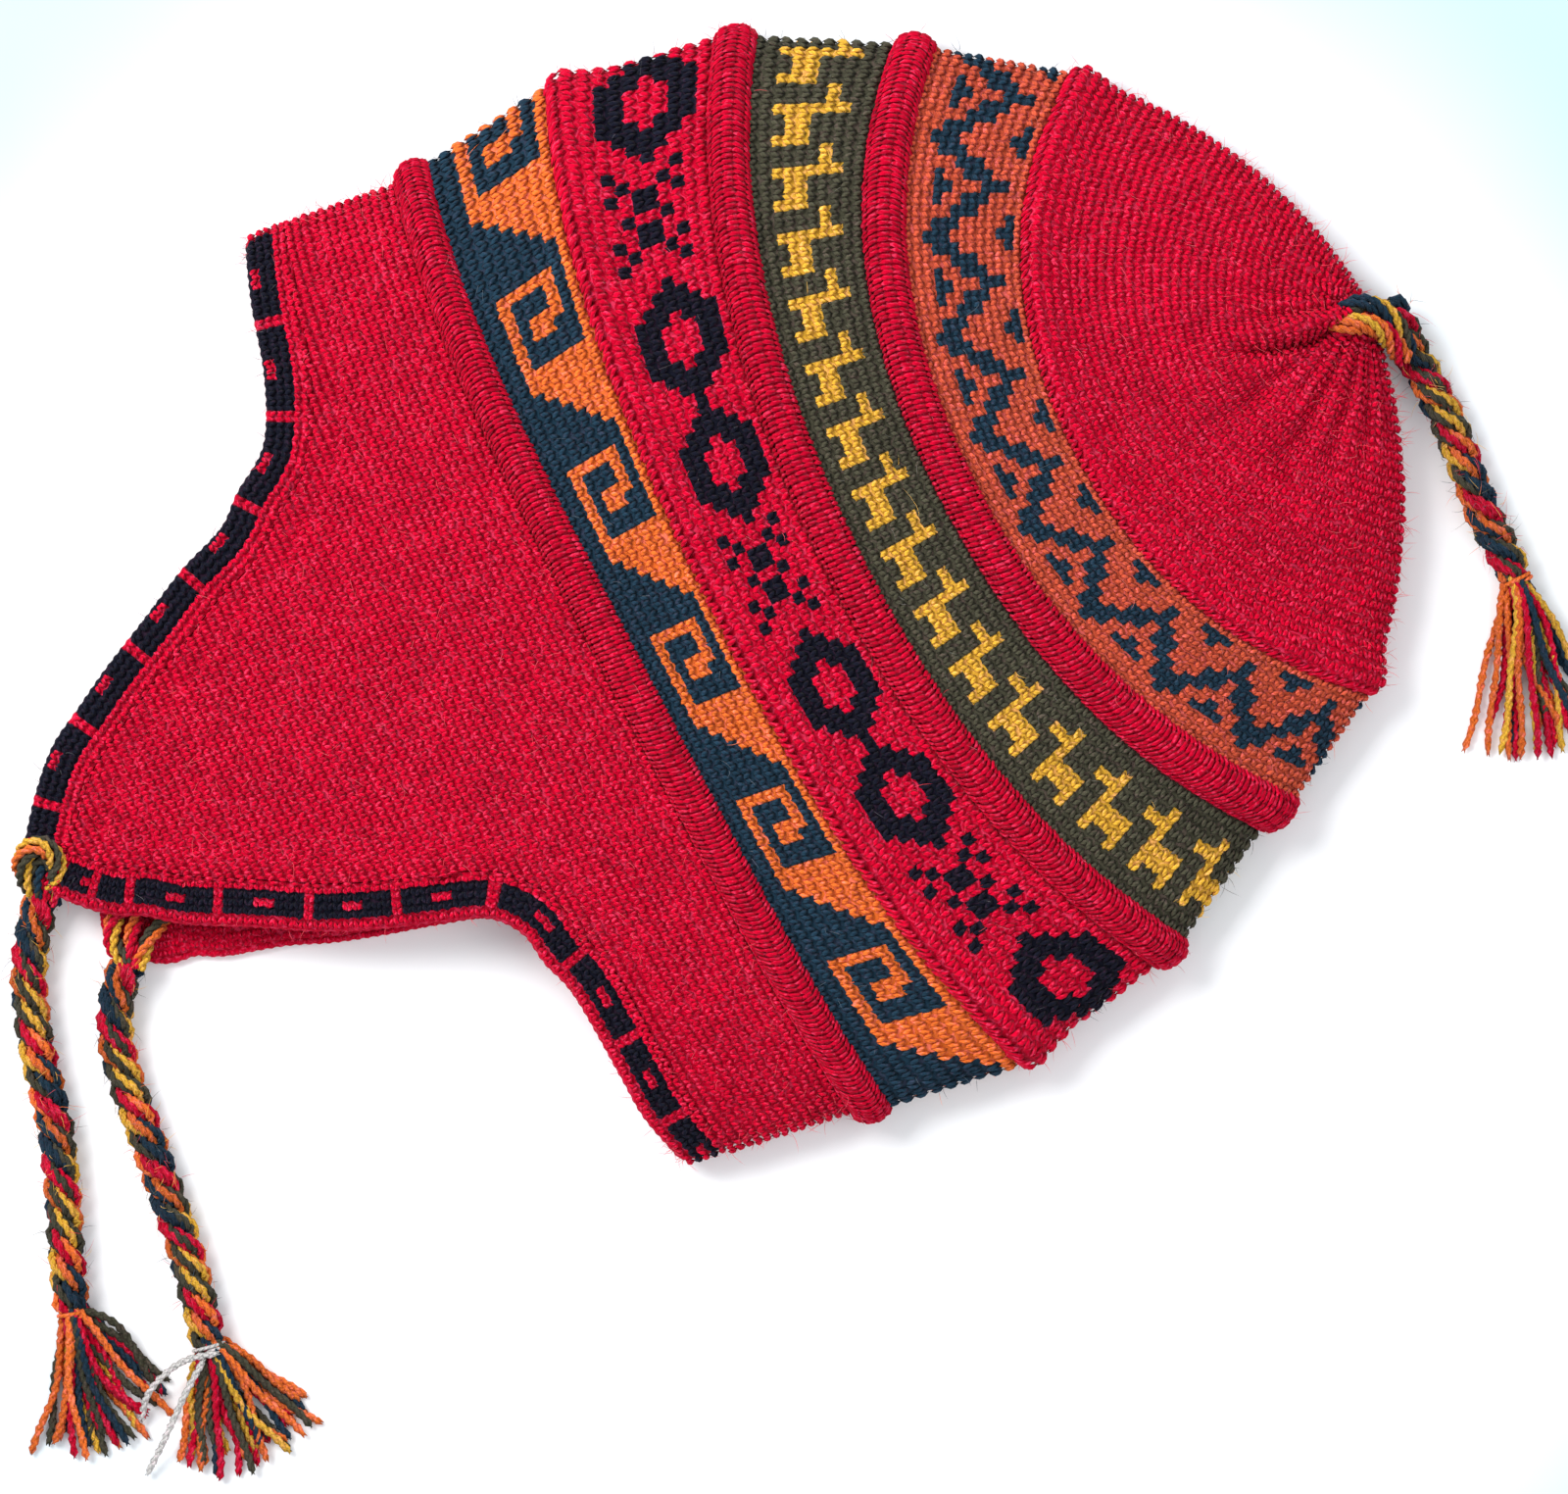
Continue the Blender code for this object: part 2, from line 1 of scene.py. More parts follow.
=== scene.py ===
"""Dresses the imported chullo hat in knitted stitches, twisted ties and loose tassels, and lays it on a pale floor.

Metres, +Z up, +X from the ear flaps to the crown tip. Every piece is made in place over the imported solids.
"""

import math

import bpy
import numpy as np
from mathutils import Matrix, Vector


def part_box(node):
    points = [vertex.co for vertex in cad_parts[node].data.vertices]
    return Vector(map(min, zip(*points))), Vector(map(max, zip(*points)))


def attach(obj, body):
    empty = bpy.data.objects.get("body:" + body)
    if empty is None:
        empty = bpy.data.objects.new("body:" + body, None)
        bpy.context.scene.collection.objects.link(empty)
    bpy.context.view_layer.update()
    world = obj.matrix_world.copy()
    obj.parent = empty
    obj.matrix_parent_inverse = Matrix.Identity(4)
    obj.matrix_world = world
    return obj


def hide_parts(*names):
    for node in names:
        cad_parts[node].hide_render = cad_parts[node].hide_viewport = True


bl_info = {
    "name": "Chullo hat",
    "version": (1, 0, 0),
    "blender": (4, 5, 0),
    "location": "View3D > Sidebar > Chullo hat",
    "description": "A knitted hat with ear flaps, patterned bands, rope ties and tassels, lying flat",
    "category": "Object",
}

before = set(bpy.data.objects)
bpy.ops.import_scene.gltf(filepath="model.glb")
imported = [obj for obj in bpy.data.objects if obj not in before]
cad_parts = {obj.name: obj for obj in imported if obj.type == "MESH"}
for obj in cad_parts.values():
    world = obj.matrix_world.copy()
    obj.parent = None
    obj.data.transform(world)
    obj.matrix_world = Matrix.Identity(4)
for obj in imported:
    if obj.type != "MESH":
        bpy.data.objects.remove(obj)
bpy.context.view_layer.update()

# Lengths along the hat's middle, from the rim's corners to the crown tip
HALF = 0.1249
FLAP_LENGTH = 0.1067
BAND_WIDTHS = (0.0315, 0.0078, 0.0200, 0.0270, 0.0078, 0.0224, 0.0078, 0.0240)
CROWN_DEPTH = 0.0748
EDGING_WIDTH = 0.0098
WALL = 0.0026
EDGING_WALL = 0.0032
RIDGE_PROUD = 0.0032
LIP_PROUD = 0.0026
FLOOR_PROUD = 0.0010
HAT_HEIGHT = 0.0260
EDGE_HEIGHT = 0.0065
RIM_HEIGHT = 0.0205
RIM_EDGE_HEIGHT = 0.0055
FLAP_TIP_HEIGHT = 0.0095
FLAT_SHARE = 0.70
LOWER_FLAP_SHIFT = (0.0105, -0.0210)
HEM_WIDTH = 0.0142  # from the rim to the line where the hem ends
HEM_PROUD = 0.0005
COLUMNS = 96  # wales of stitches across one side of a band
GAP = 0.0003  # left between neighbouring parts
LOWER_FLAP_POWER = 2.5  # how late the under flap bends aside
WALE_STRAIGHT = 0.85  # how nearly the wales of the flaps run straight along the hat
CROWN_BULGE = 0.0078
TIP_ACROSS = 0.0069  # the crown tip beside the hat's middle
TIP_RING = 0.0022
PRESS = 0.0012  # height under which yarn is pressed against the table
SINK = 0.0001  # how far the cloth lies under the stitches' own sheet

# The lines between the bands: width, centre, upper and lower sweep, lean and flat as shares of HALF, then height
LINES = np.array(
    (
        (0.933, -0.010, -0.012, 0.110, 0.020, 0.038, 0.88),
        (0.947, -0.012, -0.010, 0.111, 0.023, 0.042, 0.91),
        (0.982, 0.000, 0.086, 0.202, 0.006, 0.053, 0.98),
        (0.927, 0.018, 0.186, 0.280, 0.003, 0.056, 1.00),
        (0.902, 0.018, 0.189, 0.281, 0.001, 0.059, 1.00),
        (0.781, 0.029, 0.242, 0.309, 0.021, 0.088, 0.98),
        (0.751, 0.026, 0.240, 0.325, 0.013, 0.070, 0.97),
        (0.620, 0.019, 0.260, 0.329, 0.010, 0.099, 0.92),
    )
)
CROWN_LINE = len(LINES) - 1
RIM_ENDS = ((-0.0696, 0.1176), (-0.0576, -0.1149))
CORNER_X = (RIM_ENDS[0][0] + RIM_ENDS[1][0]) / 2

# The rim of a flap from fold to fold: across is a share of the half width, out of the flap's length
FLAP = np.array(
    (
        (1.000, 0.000), (0.873, 0.045), (0.727, 0.087), (0.605, 0.151), (0.537, 0.247),
        (0.485, 0.312), (0.440, 0.425), (0.380, 0.542), (0.320, 0.662), (0.266, 0.758),
        (0.223, 0.833), (0.158, 0.903), (0.085, 0.965), (0.030, 1.000), (-0.018, 0.984),
        (-0.082, 0.921), (-0.119, 0.869), (-0.143, 0.811), (-0.185, 0.746), (-0.248, 0.602),
        (-0.298, 0.495), (-0.337, 0.383), (-0.368, 0.269), (-0.402, 0.154), (-0.460, 0.098),
        (-0.529, 0.083), (-0.613, 0.055), (-0.790, 0.041), (-0.881, 0.035), (-0.969, 0.011),
        (-1.000, 0.000),
    )
)

# Folds that run into the crown tip: way round at the tip, how it drifts down the crown, reach down the crown,
# width as a share of the way, depth in walls
GATHERS = np.array(
    (
        (0.060, 0.00, 0.45, 0.016, 0.45),
        (0.120, 0.00, 0.55, 0.016, 0.55),
        (0.165, 0.00, 0.50, 0.015, 0.60),
        (0.205, 0.00, 0.66, 0.014, 0.65),
        (0.272, -0.16, 0.50, 0.018, -0.90),
        (0.306, -0.16, 0.50, 0.010, 1.80),
        (0.290, 0.00, 0.78, 0.015, 0.80),
        (0.322, 0.00, 0.48, 0.012, 0.70),
        (0.352, 0.00, 0.66, 0.012, 1.05),
        (0.390, 0.00, 0.56, 0.012, 0.85),
        (0.428, 0.00, 0.50, 0.012, 0.80),
        (0.465, 0.00, 0.42, 0.012, 0.60),
        (0.580, 0.00, 0.60, 0.026, 0.50),
        (0.680, 0.00, 0.70, 0.026, 0.50),
        (0.790, 0.00, 0.60, 0.026, 0.50),
        (0.900, 0.00, 0.65, 0.026, 0.50),
    )
)

# Knitting charts, crown side first, one letter a stitch: . ground, o figure
WAVES = (
    "oooooooooooooooo",
    ".......ooooooo..",
    "oooo...oooooo...",
    "o..oo..ooooo....",
    "o..oo..oooo.....",
    "o......ooo......",
    "ooooooooo.......",
    "................",
    "................",
)
DIAMOND = (
    "...ooooo...",
    "..ooooooo..",
    ".ooo...ooo.",
    "ooo.....ooo",
    ".ooo...ooo.",
    "..ooooooo..",
    "...ooooo...",
)
CROSS = (
    "..........",
    "o.o...o.o.",
    ".o..o..o..",
    "..oo.oo...",
    "..oo.oo...",
    ".o..o..o..",
    "o.o...o.o.",
)
LLAMAS = (
    "......",
    "......",
    "..o...",
    "ooo...",
    "..o...",
    "..oooo",
    "..oooo",
    "..o..o",
    "......",
    "......",
)
ZIGZAG_LOW = (3, 4, 6, 7, 9, 7, 6, 4)  # lowest row of the three-row line in each column
PEAKS = ((3, (3, 4, 5)), (4, (4,)), (11, (7, 0, 1)), (10, (0,)))  # row, columns

# Routes of the ropes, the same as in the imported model
ROUTES = {
    "upper_tie": (
        (-0.1637, -0.0010, 0.0058), (-0.1653, -0.0036, 0.0054), (-0.1681, -0.0072, 0.0050),
        (-0.1721, -0.0133, 0.0046), (-0.1755, -0.0203, 0.0046), (-0.1778, -0.0278, 0.0046),
        (-0.1796, -0.0355, 0.0046), (-0.1809, -0.0445, 0.0046), (-0.1825, -0.0535, 0.0046),
        (-0.1853, -0.0632, 0.0046), (-0.1885, -0.0727, 0.0046), (-0.1917, -0.0821, 0.0046),
        (-0.1939, -0.0897, 0.0046),
    ),
    "lower_tie": (
        (-0.1508, -0.0231, 0.0046), (-0.1556, -0.0274, 0.0046), (-0.1593, -0.0330, 0.0046),
        (-0.1619, -0.0392, 0.0046), (-0.1632, -0.0458, 0.0046), (-0.1637, -0.0529, 0.0046),
        (-0.1640, -0.0611, 0.0046), (-0.1643, -0.0694, 0.0046), (-0.1648, -0.0776, 0.0046),
        (-0.1653, -0.0859, 0.0046), (-0.1663, -0.0939, 0.0046), (-0.1674, -0.1018, 0.0046),
        (-0.1685, -0.1086, 0.0046),
    ),
    "crown_braid": (
        (0.1682, 0.0046, 0.0075), (0.1700, 0.0012, 0.0066), (0.1701, -0.0076, 0.0056),
        (0.1710, -0.0147, 0.0049), (0.1716, -0.0234, 0.0046), (0.1717, -0.0318, 0.0046),
        (0.1713, -0.0413, 0.0046), (0.1714, -0.0498, 0.0046), (0.1722, -0.0585, 0.0046),
        (0.1723, -0.0610, 0.0046),
    ),
}


def placed(values, steps):
    """Points along a smooth curve through knots."""
    knots = np.array(values, float)
    padded = np.vstack([2 * knots[0] - knots[1], knots, 2 * knots[-1] - knots[-2]])
    t = (np.arange(steps) / steps)[:, None]
    run = []
    for a, b, c, d in zip(padded[:-3], padded[1:-2], padded[2:-1], padded[3:]):
        run.append(0.5 * (2 * b + (c - a) * t + (2 * a - 5 * b + 4 * c - d) * t**2 + (3 * b - a - 3 * c + d) * t**3))
    return np.vstack(run + [knots[-1:]])


def lengths(points):
    """How far along a line each of its points is."""
    return np.concatenate([[0], np.cumsum(np.linalg.norm(np.diff(points, axis=0), axis=1))])


def unit(vectors):
    """Vectors made one long."""
    return vectors / np.linalg.norm(vectors, axis=-1, keepdims=True)


def swung(turn, side, up):
    """Directions turned from side towards up."""
    return np.cos(turn)[:, None] * side + np.sin(turn)[:, None] * up


# The lying form


def line_shape(place):
    """The seven values of the line at each place between the rows of LINES."""
    return [np.interp(place, np.arange(len(LINES)), LINES[:, k]) for k in range(7)]


def middles():
    """Where each line crosses the hat's middle."""
    return np.cumsum(BAND_WIDTHS) + CORNER_X


def line_plan(place, across):
    """Plan points of lines, across from 0 at the upper fold to 1 at the lower one."""
    width, centre, upper, lower, lean, flat, _ = (value * HALF for value in line_shape(place))
    middle = np.interp(place, np.arange(len(LINES)), middles())
    arch = 4 * across * (1 - across)
    bow = -(upper + lower) / 2 - flat
    x = middle + upper * (1 - across) + lower * across + bow * arch + lean * arch * (2 * across - 1) + flat * arch**2
    return x, centre + width * (1 - 2 * across)


def split(way):
    """Upper layer or not, and the place across it, for shares of the way round."""
    run = np.where(way <= 0.5, 2 * way, 2 - 2 * way)
    return way <= 0.5, 0.75 * (1 - np.cos(math.pi * run)) / 2 + 0.25 * run


def layer_height(upper, across, top, edge, floor, close=1.0):
    """Height of the outer face of a layer."""
    side = np.minimum(np.abs(1 - 2 * across), 1.0)
    dome = floor + edge + (top - edge - floor) * (1 - side**3) ** 0.45 * close
    bend = np.clip((side - FLAT_SHARE) / (1 - FLAT_SHARE), 0, 1)
    return np.where(upper, dome, floor + edge * (1 - np.sqrt(1 - bend**2) * close))


def flattened(way, proud):
    """How far relief stands out round the hat: less where the hat lies on it."""
    upper, across = split(way)
    bend = np.clip((np.abs(1 - 2 * across) - FLAT_SHARE) / (1 - FLAT_SHARE), 0, 1)
    return np.where(upper, proud, FLOOR_PROUD + (proud - FLOOR_PROUD) * bend**2)


def band_face(place, way):
    """The banded body's outer face."""
    upper, across = split(way)
    x, y = line_plan(place, across)
    top = line_shape(place)[6] * HAT_HEIGHT
    return np.stack([x, y, layer_height(upper, across, top, EDGE_HEIGHT, FLOOR_PROUD)], -1)


def crown_face(rise, way):
    """The crown's outer face, rise from 0 at its lower edge to 1 at the tip."""
    upper, across = split(way)
    x, y = line_plan(CROWN_LINE, across)
    tip_x, tip_y = middles()[-1] + CROWN_DEPTH, TIP_ACROSS
    side = 1 - 2 * across
    swell = 4 * rise * (1 - rise) * CROWN_BULGE * side**2
    shrink = 1 - rise + rise * TIP_RING / HALF
    x = tip_x + (x - tip_x) * shrink + 0.90 * swell
    y = tip_y + (y - tip_y) * shrink + 0.42 * swell * np.sign(side)
    close = math.sqrt(max(0.0, 1 - (0.985 * rise) ** 4))
    z = layer_height(upper, across, LINES[-1, 6] * HAT_HEIGHT, EDGE_HEIGHT, FLOOR_PROUD, close)
    return np.stack([x, y, z], -1)


def rim_run(lower):
    """The rim of one layer as fine rows of x, y and across, and each row's share of its length."""
    (x0, y0), (x1, y1) = RIM_ENDS
    across, out = FLAP.T
    y = (y0 + y1) / 2 + across * (y0 - y1) / 2
    x = x0 + (x1 - x0) * (y0 - y) / (y0 - y1) - out * FLAP_LENGTH
    if lower:
        x = x + LOWER_FLAP_SHIFT[0] * out**LOWER_FLAP_POWER
        y = y + LOWER_FLAP_SHIFT[1] * out**LOWER_FLAP_POWER
    fine = placed(np.stack([x, y, across], 1), 12)
    along = lengths(fine[:, :2])
    return fine, along / along[-1]


RIMS = (rim_run(False), rim_run(True))


def rim_plan(across, lower, inset):
    """Plan points of one layer's rim, moved in from it."""
    points, shares = RIMS[lower]

    def at(s):
        return np.stack([np.interp(s, shares, points[:, k]) for k in (0, 1)], -1)

    step = 0.018
    run = at(across + step) - at(across - step)
    inward = np.stack([-run[..., 1], run[..., 0] * np.clip(np.minimum(across, 1 - across) / 0.08, 0, 1)], -1)
    return at(across) + unit(inward) * np.reshape(inset, (-1, 1))


def skirt_height(x, y, upper, across=None):
    """Height of the skirt's outer face over plan points."""
    ridge_x = line_plan(0, 0.5)[0]
    skirt_share = np.clip((ridge_x - x) / (ridge_x - CORNER_X), 0, 1)
    flap_share = np.clip((CORNER_X - x) / FLAP_LENGTH, 0, 1)
    if across is None:
        upper_y, lower_y = fold_lines(x)
        across = np.clip((upper_y - y) / (upper_y - lower_y), 0, 1)
    ridge_top = LINES[0, 6] * HAT_HEIGHT
    top = ridge_top + (RIM_HEIGHT - ridge_top) * skirt_share + (FLAP_TIP_HEIGHT - RIM_HEIGHT) * flap_share
    edge = EDGE_HEIGHT + (RIM_EDGE_HEIGHT - EDGE_HEIGHT) * skirt_share
    return layer_height(upper, across, top, edge, FLOOR_PROUD * (1 - skirt_share))


def fold_lines(x):
    """The y of both folds of the skirt at each x."""
    folds = []
    for across, (end_x, end_y) in zip((0.0, 1.0), RIM_ENDS):
        fold_x, fold_y = line_plan(0, across)
        folds.append(fold_y + (end_y - fold_y) * np.clip((fold_x - x) / (fold_x - end_x), 0, 1))
    return folds


def skirt_face(down, way, inset):
    """The skirt's outer face, down from 0 at the first ridge to 1 at a line in from the rim."""
    upper, across = split(way)
    points = np.zeros((len(way), 3))
    for lower in (0, 1):
        here = upper != bool(lower)
        a = across[here]
        straight = (1 - np.interp(a, RIMS[lower][1], RIMS[lower][0][:, 2])) / 2
        wale = WALE_STRAIGHT * straight + (1 - WALE_STRAIGHT) * a
        ax, ay = line_plan(0, wale)
        rim = rim_plan(a, lower, inset)
        x, y = ax + (rim[:, 0] - ax) * down, ay + (rim[:, 1] - ay) * down
        z = skirt_height(x, y, lower == 0)
        at_fold = (a < 1e-6) | (a > 1 - 1e-6)
        z = np.where(at_fold, skirt_height(x, y, lower == 0, np.round(a)), z)
        points[here] = np.stack([x, y, z], -1)
    return points


def wale_face(down, way):
    """Rings of the skirt's face that are parallel to the first ridge, down metres below it."""
    upper, across = split(way)
    x = line_plan(0, across)[0] - down
    upper_y, lower_y = fold_lines(x)
    y = upper_y + (lower_y - upper_y) * across
    return np.stack([x, y, skirt_height(x, y, upper, across)], -1)


def edging_face(out, way):
    """The edging's outer face, out from 0 at its seam to 1 at the rim."""
    return skirt_face(1.0, way, EDGING_WIDTH * (1 - out))


def raised(face, along, way, out, step=0.02):
    """Points that stand out of a face along its normal."""
    a = face(along + step, way) - face(along - step, way)
    b = face(along, (way + 0.004) % 1) - face(along, (way - 0.004) % 1)
    normal = unit(np.cross(b, a))
    upper, across = split(way)
    middle = np.abs(across - 0.5) < 0.2
    turned = np.sum(np.where(upper, 1, -1) * normal[:, 2] * middle) < 0
    normal *= -1 if turned else 1
    wrong = normal[:, 2] * np.where(upper, 1, -1) < -0.3
    normal[wrong] *= -1
    return face(along, way) + normal * np.reshape(out, (-1, 1))


def packed_shift():
    """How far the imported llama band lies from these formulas' own place."""
    inset = GAP / BAND_WIDTHS[5]
    rows = np.vstack([band_face(4 + share, np.arange(48) / 48) for share in (inset, 1 - inset)])
    low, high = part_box("llama_band")
    middle = (rows.min(0) + rows.max(0)) / 2
    return np.array(((low[0] + high[0]) / 2 - middle[0], (low[1] + high[1]) / 2 - middle[1], 0.0))


SHIFT = packed_shift()


class Sheet:
    """A face of the hat as a fine grid, even in length round each side from fold to fold."""

    def __init__(self, face, alongs, steps=480, upright=0.5, guide=None):
        ways = np.linspace(0, 1, 1601)
        rows = []
        measure = None if guide is None else face(guide, ways)
        for along in alongs:
            points = face(along, ways) + SHIFT
            row = []
            for part in (slice(0, 801), slice(800, 1601)):
                half = points[part]
                ruler = half if measure is None else measure[part]
                run = lengths(ruler)
                at = np.linspace(0, run[-1], steps // 2 + 1)[:-1]
                row.append(np.stack([np.interp(at, run, half[:, k]) for k in range(3)], 1))
            rows.append(np.vstack(row))
        self.points = np.array(rows)
        self.count, self.steps = len(rows), steps
        self.down = np.gradient(self.points, axis=0)
        self.round = (np.roll(self.points, -1, 1) - np.roll(self.points, 1, 1)) / 2
        self.normal = unit(np.cross(self.round, self.down))
        if self.normal[int(self.count * upright), steps // 4, 2] < 0:
            self.normal = -self.normal

    def mix(self, grid, along, share):
        """Values of a grid between its points. along runs from 0 to 1 over the rows, share round the hat."""
        a = np.clip(along, 0, 1) * (self.count - 1)
        i = np.minimum(a.astype(int), self.count - 2)
        s = (share % 1) * self.steps
        j = s.astype(int) % self.steps
        k = (j + 1) % self.steps
        fa, fs = (a - i)[..., None], (s - s.astype(int))[..., None]
        near, far = grid[i, j] * (1 - fs) + grid[i, k] * fs, grid[i + 1, j] * (1 - fs) + grid[i + 1, k] * fs
        return near * (1 - fa) + far * fa

    def spot(self, along, share, height):
        """Points that stand height over the sheet, which runs on straight past its first and last rows."""
        place = self.mix(self.points, along, share)
        beyond = (along - np.clip(along, 0, 1)) * (self.count - 1)
        place = place + self.mix(self.down, along, share) * beyond[..., None]
        return place + unit(self.mix(self.normal, along, share)) * height[..., None]


# Meshes


class Heap:
    """Points, faces, colours and strand coordinates that are gathered into one piece.

    patches holds the number of a first face and the colours of the four-sided faces from there on.
    """

    def __init__(self):
        self.points, self.faces, self.colours, self.uvs, self.size = [], [], [], [], 0
        self.patches = []

    def add(self, points, faces, colours, uvs=(0.0, 0.0)):
        """Adds copies of one shape, each with its own points and colours."""
        count, size = points.shape[:2]
        start = self.size + np.arange(count)[:, None] * size
        for face in faces:
            self.faces += (start + np.array(face)[None, :]).tolist()
        self.points.append(points.reshape(-1, 3))
        self.colours.append(np.broadcast_to(colours, points.shape).reshape(-1, 3))
        self.uvs.append(np.tile(np.broadcast_to(uvs, (size, 2)), (count, 1)))
        self.size += count * size

    def piece(self, name):
        """Makes the piece, pressed flat where it would reach through the table."""
        points, colours, uvs = (np.vstack(part) for part in (self.points, self.colours, self.uvs))
        height = points[:, 2]
        points[:, 2] = np.where(height < PRESS, PRESS * np.exp((height - PRESS) / PRESS), height)
        mesh = bpy.data.meshes.new(name)
        mesh.from_pydata(points.tolist(), [], self.faces)
        mesh.update()
        corner = np.zeros(len(mesh.loops), np.int32)
        mesh.loops.foreach_get("vertex_index", corner)
        shades = np.ones((len(corner), 4), np.float32)
        shades[:, :3] = colours[corner]
        starts = np.zeros(len(mesh.polygons), np.int32)
        mesh.polygons.foreach_get("loop_start", starts)
        for first, patch in self.patches:
            spots = starts[first : first + len(patch)][:, None] + np.arange(4)
            shades[spots, :3] = patch[:, None, :]
        mesh.color_attributes.new("yarn", "FLOAT_COLOR", "CORNER").data.foreach_set("color", shades.ravel())
        mesh.uv_layers.new(name="strand").data.foreach_set("uv", uvs[corner].astype(np.float32).ravel())
        mesh.shade_smooth()
        made = bpy.data.objects.new(name, mesh)
        bpy.context.collection.objects.link(made)
        return made


def tube_faces(sides, rings):
    """Faces of a tube: a point, rings of points and a point again."""
    faces = []
    last = 1 + (rings - 1) * sides
    for s in range(sides):
        after = (s + 1) % sides
        faces.append((0, 1 + s, 1 + after))
        for low in range(1, last, sides):
            faces.append((low + s, low + sides + s, low + sides + after, low + after))
        faces.append((last + s, last + sides, last + after))
    return faces


def leg_shape(side, sides, rings, splay):
    """One leg of a knitted V as shares of a column and a row, with its section: points, faces and coordinates."""
    spots, coordinates = [], []
    start, end = np.array((splay[0] * side, splay[3])), np.array((splay[1] * side, splay[4]))
    run = end - start
    across = unit(np.array((run[1], -run[0])))
    for k, t in enumerate(np.linspace(0, 1, rings + 2)):
        bow = 0.03 * side * math.sin(math.pi * t)
        centre = start + run * t + across * bow
        lift = 0.38 + 0.34 * math.sin(math.pi * (0.15 + 0.70 * t)) - 0.30 * t**2
        if k in (0, rings + 1):
            spots.append((*centre, lift - 0.10))
            coordinates.append((0.5, t))
            continue
        thick = math.sin(math.pi * (0.10 + 0.80 * t)) ** 0.6
        for s in range(sides):
            turn = 2 * math.pi * (s + 0.5) / sides - math.pi / 2
            offset = across * splay[2] * thick * math.cos(turn)
            spots.append((*(centre + offset), lift + 0.50 * thick * math.sin(turn)))
            coordinates.append(((s + 0.5) / sides, t))
    return np.array(spots), tube_faces(sides, rings), np.array(coordinates)


# A leg of a V: where it starts and ends across its column, half width, where it starts and ends along its row
OPEN_V = (0.030, 0.455, 0.218, -0.18, 0.82)
CLOSE_V = (0.22, 0.27, 0.235, -0.45, 1.20)
FINE, COARSE = (5, 2), (4, 1)  # sides and rings of a leg on the upper and on the under layer


def stitches(heap, sheet, along, share, tall, wide, colours, sides, rings, seed, lift, proud, splay=OPEN_V):
    """Adds a knitted V at each place of a sheet. colours and proud have one row a stitch."""
    chance = np.random.default_rng(seed)
    count = len(along)
    jitter = chance.normal(0, 1, (count, 2, 4))
    for leg, side in enumerate((-1, 1)):
        spots, faces, coordinates = leg_shape(side, sides, rings, splay)
        a = spots[None, :, 0] * (1 + 0.05 * jitter[:, leg, 0:1]) + 0.03 * jitter[:, leg, 1:2]
        h = spots[None, :, 1] + 0.06 * jitter[:, leg, 2:3]
        height = spots[None, :, 2] * lift * (1 + 0.12 * jitter[:, leg, 3:4]) + proud[:, None]
        points = sheet.spot(along[:, None] + h * tall[:, None], share[:, None] + a * wide[:, None], height)
        # Painted shade: each leg is darker where it lies low on the cloth and towards the open end of the V, where the
        # next row covers it; the random factor below is each stitch's own tone.
        painted_shade = (0.72 + 0.42 * np.clip((spots[:, 2] - 0.1) / 1.2, 0, 1)) * (1.07 - 0.30 * coordinates[:, 1] ** 2)
        shade = painted_shade[None, :] * (1 + 0.11 * chance.normal(0, 1, (count, 1)))
        colour = colours[:, None, :] * shade[..., None]
        heap.add(points, faces, colour, coordinates)


def quads(rows, columns):
    """Faces of a grid that closes on itself round the hat and from its last row to its first."""
    j = np.arange(columns)
    after = (j + 1) % columns
    faces = []
    for i in range(rows):
        here, there = i * columns, (i + 1) % rows * columns
        faces.append(np.stack([here + j, here + after, there + after, there + j], 1))
    return np.vstack(faces)


def cloth(heap, sheet, rows, columns, colour, inner_colour=None):
    """Adds the cloth behind the stitches: an outer and an inner skin joined at both edges.

    colour gives a colour for each cell of the outer skin from arrays of rows and columns. Without an inner colour
    the sheet closes on itself at its seam and has no inner skin.
    """
    along, share = np.meshgrid(np.linspace(0, 1, rows + 1), np.arange(columns) / columns, indexing="ij")
    zero = np.zeros(along.shape)
    skins = [sheet.spot(along, share, zero - SINK)]
    if inner_colour is not None:
        skins.append(sheet.spot(along, share, zero - WALL)[::-1])
    points = np.vstack(skins).reshape(-1, 3)
    faces = quads(len(skins) * (rows + 1), columns)
    # Painted shade: the outer skin that shows between the stitches is its yarn's colour darkened to 0.9.
    patches = 0.9 * colour(*cells(rows, columns)[:2])
    front = columns // 4
    a, b, c = points[faces[front][:3]]
    out = (sheet.spot(along, share, zero + 1) - sheet.spot(along, share, zero)).reshape(-1, 3)[front]
    if np.dot(np.cross(b - a, c - a), out) < 0:
        faces = faces[:, ::-1]
    heap.patches.append((len(heap.faces), patches))
    heap.add(points[None], faces, patches[0] if inner_colour is None else inner_colour)


# The yarn finishes


class Value:
    """A socket of numbers that Python arithmetic adds Math nodes to."""

    def __init__(self, finish, socket):
        self.finish, self.socket = finish, socket

    def _maths(self, operation, first, second):
        return self.finish.node("ShaderNodeMath", {"operation": operation}, {0: first, 1: second})

    def __add__(self, other):
        return self._maths("ADD", self, other)

    def __sub__(self, other):
        return self._maths("SUBTRACT", self, other)

    def __mul__(self, other):
        return self._maths("MULTIPLY", self, other)

    def sine(self):
        return self._maths("SINE", self, 0.0)

    __radd__ = __add__
    __rmul__ = __mul__


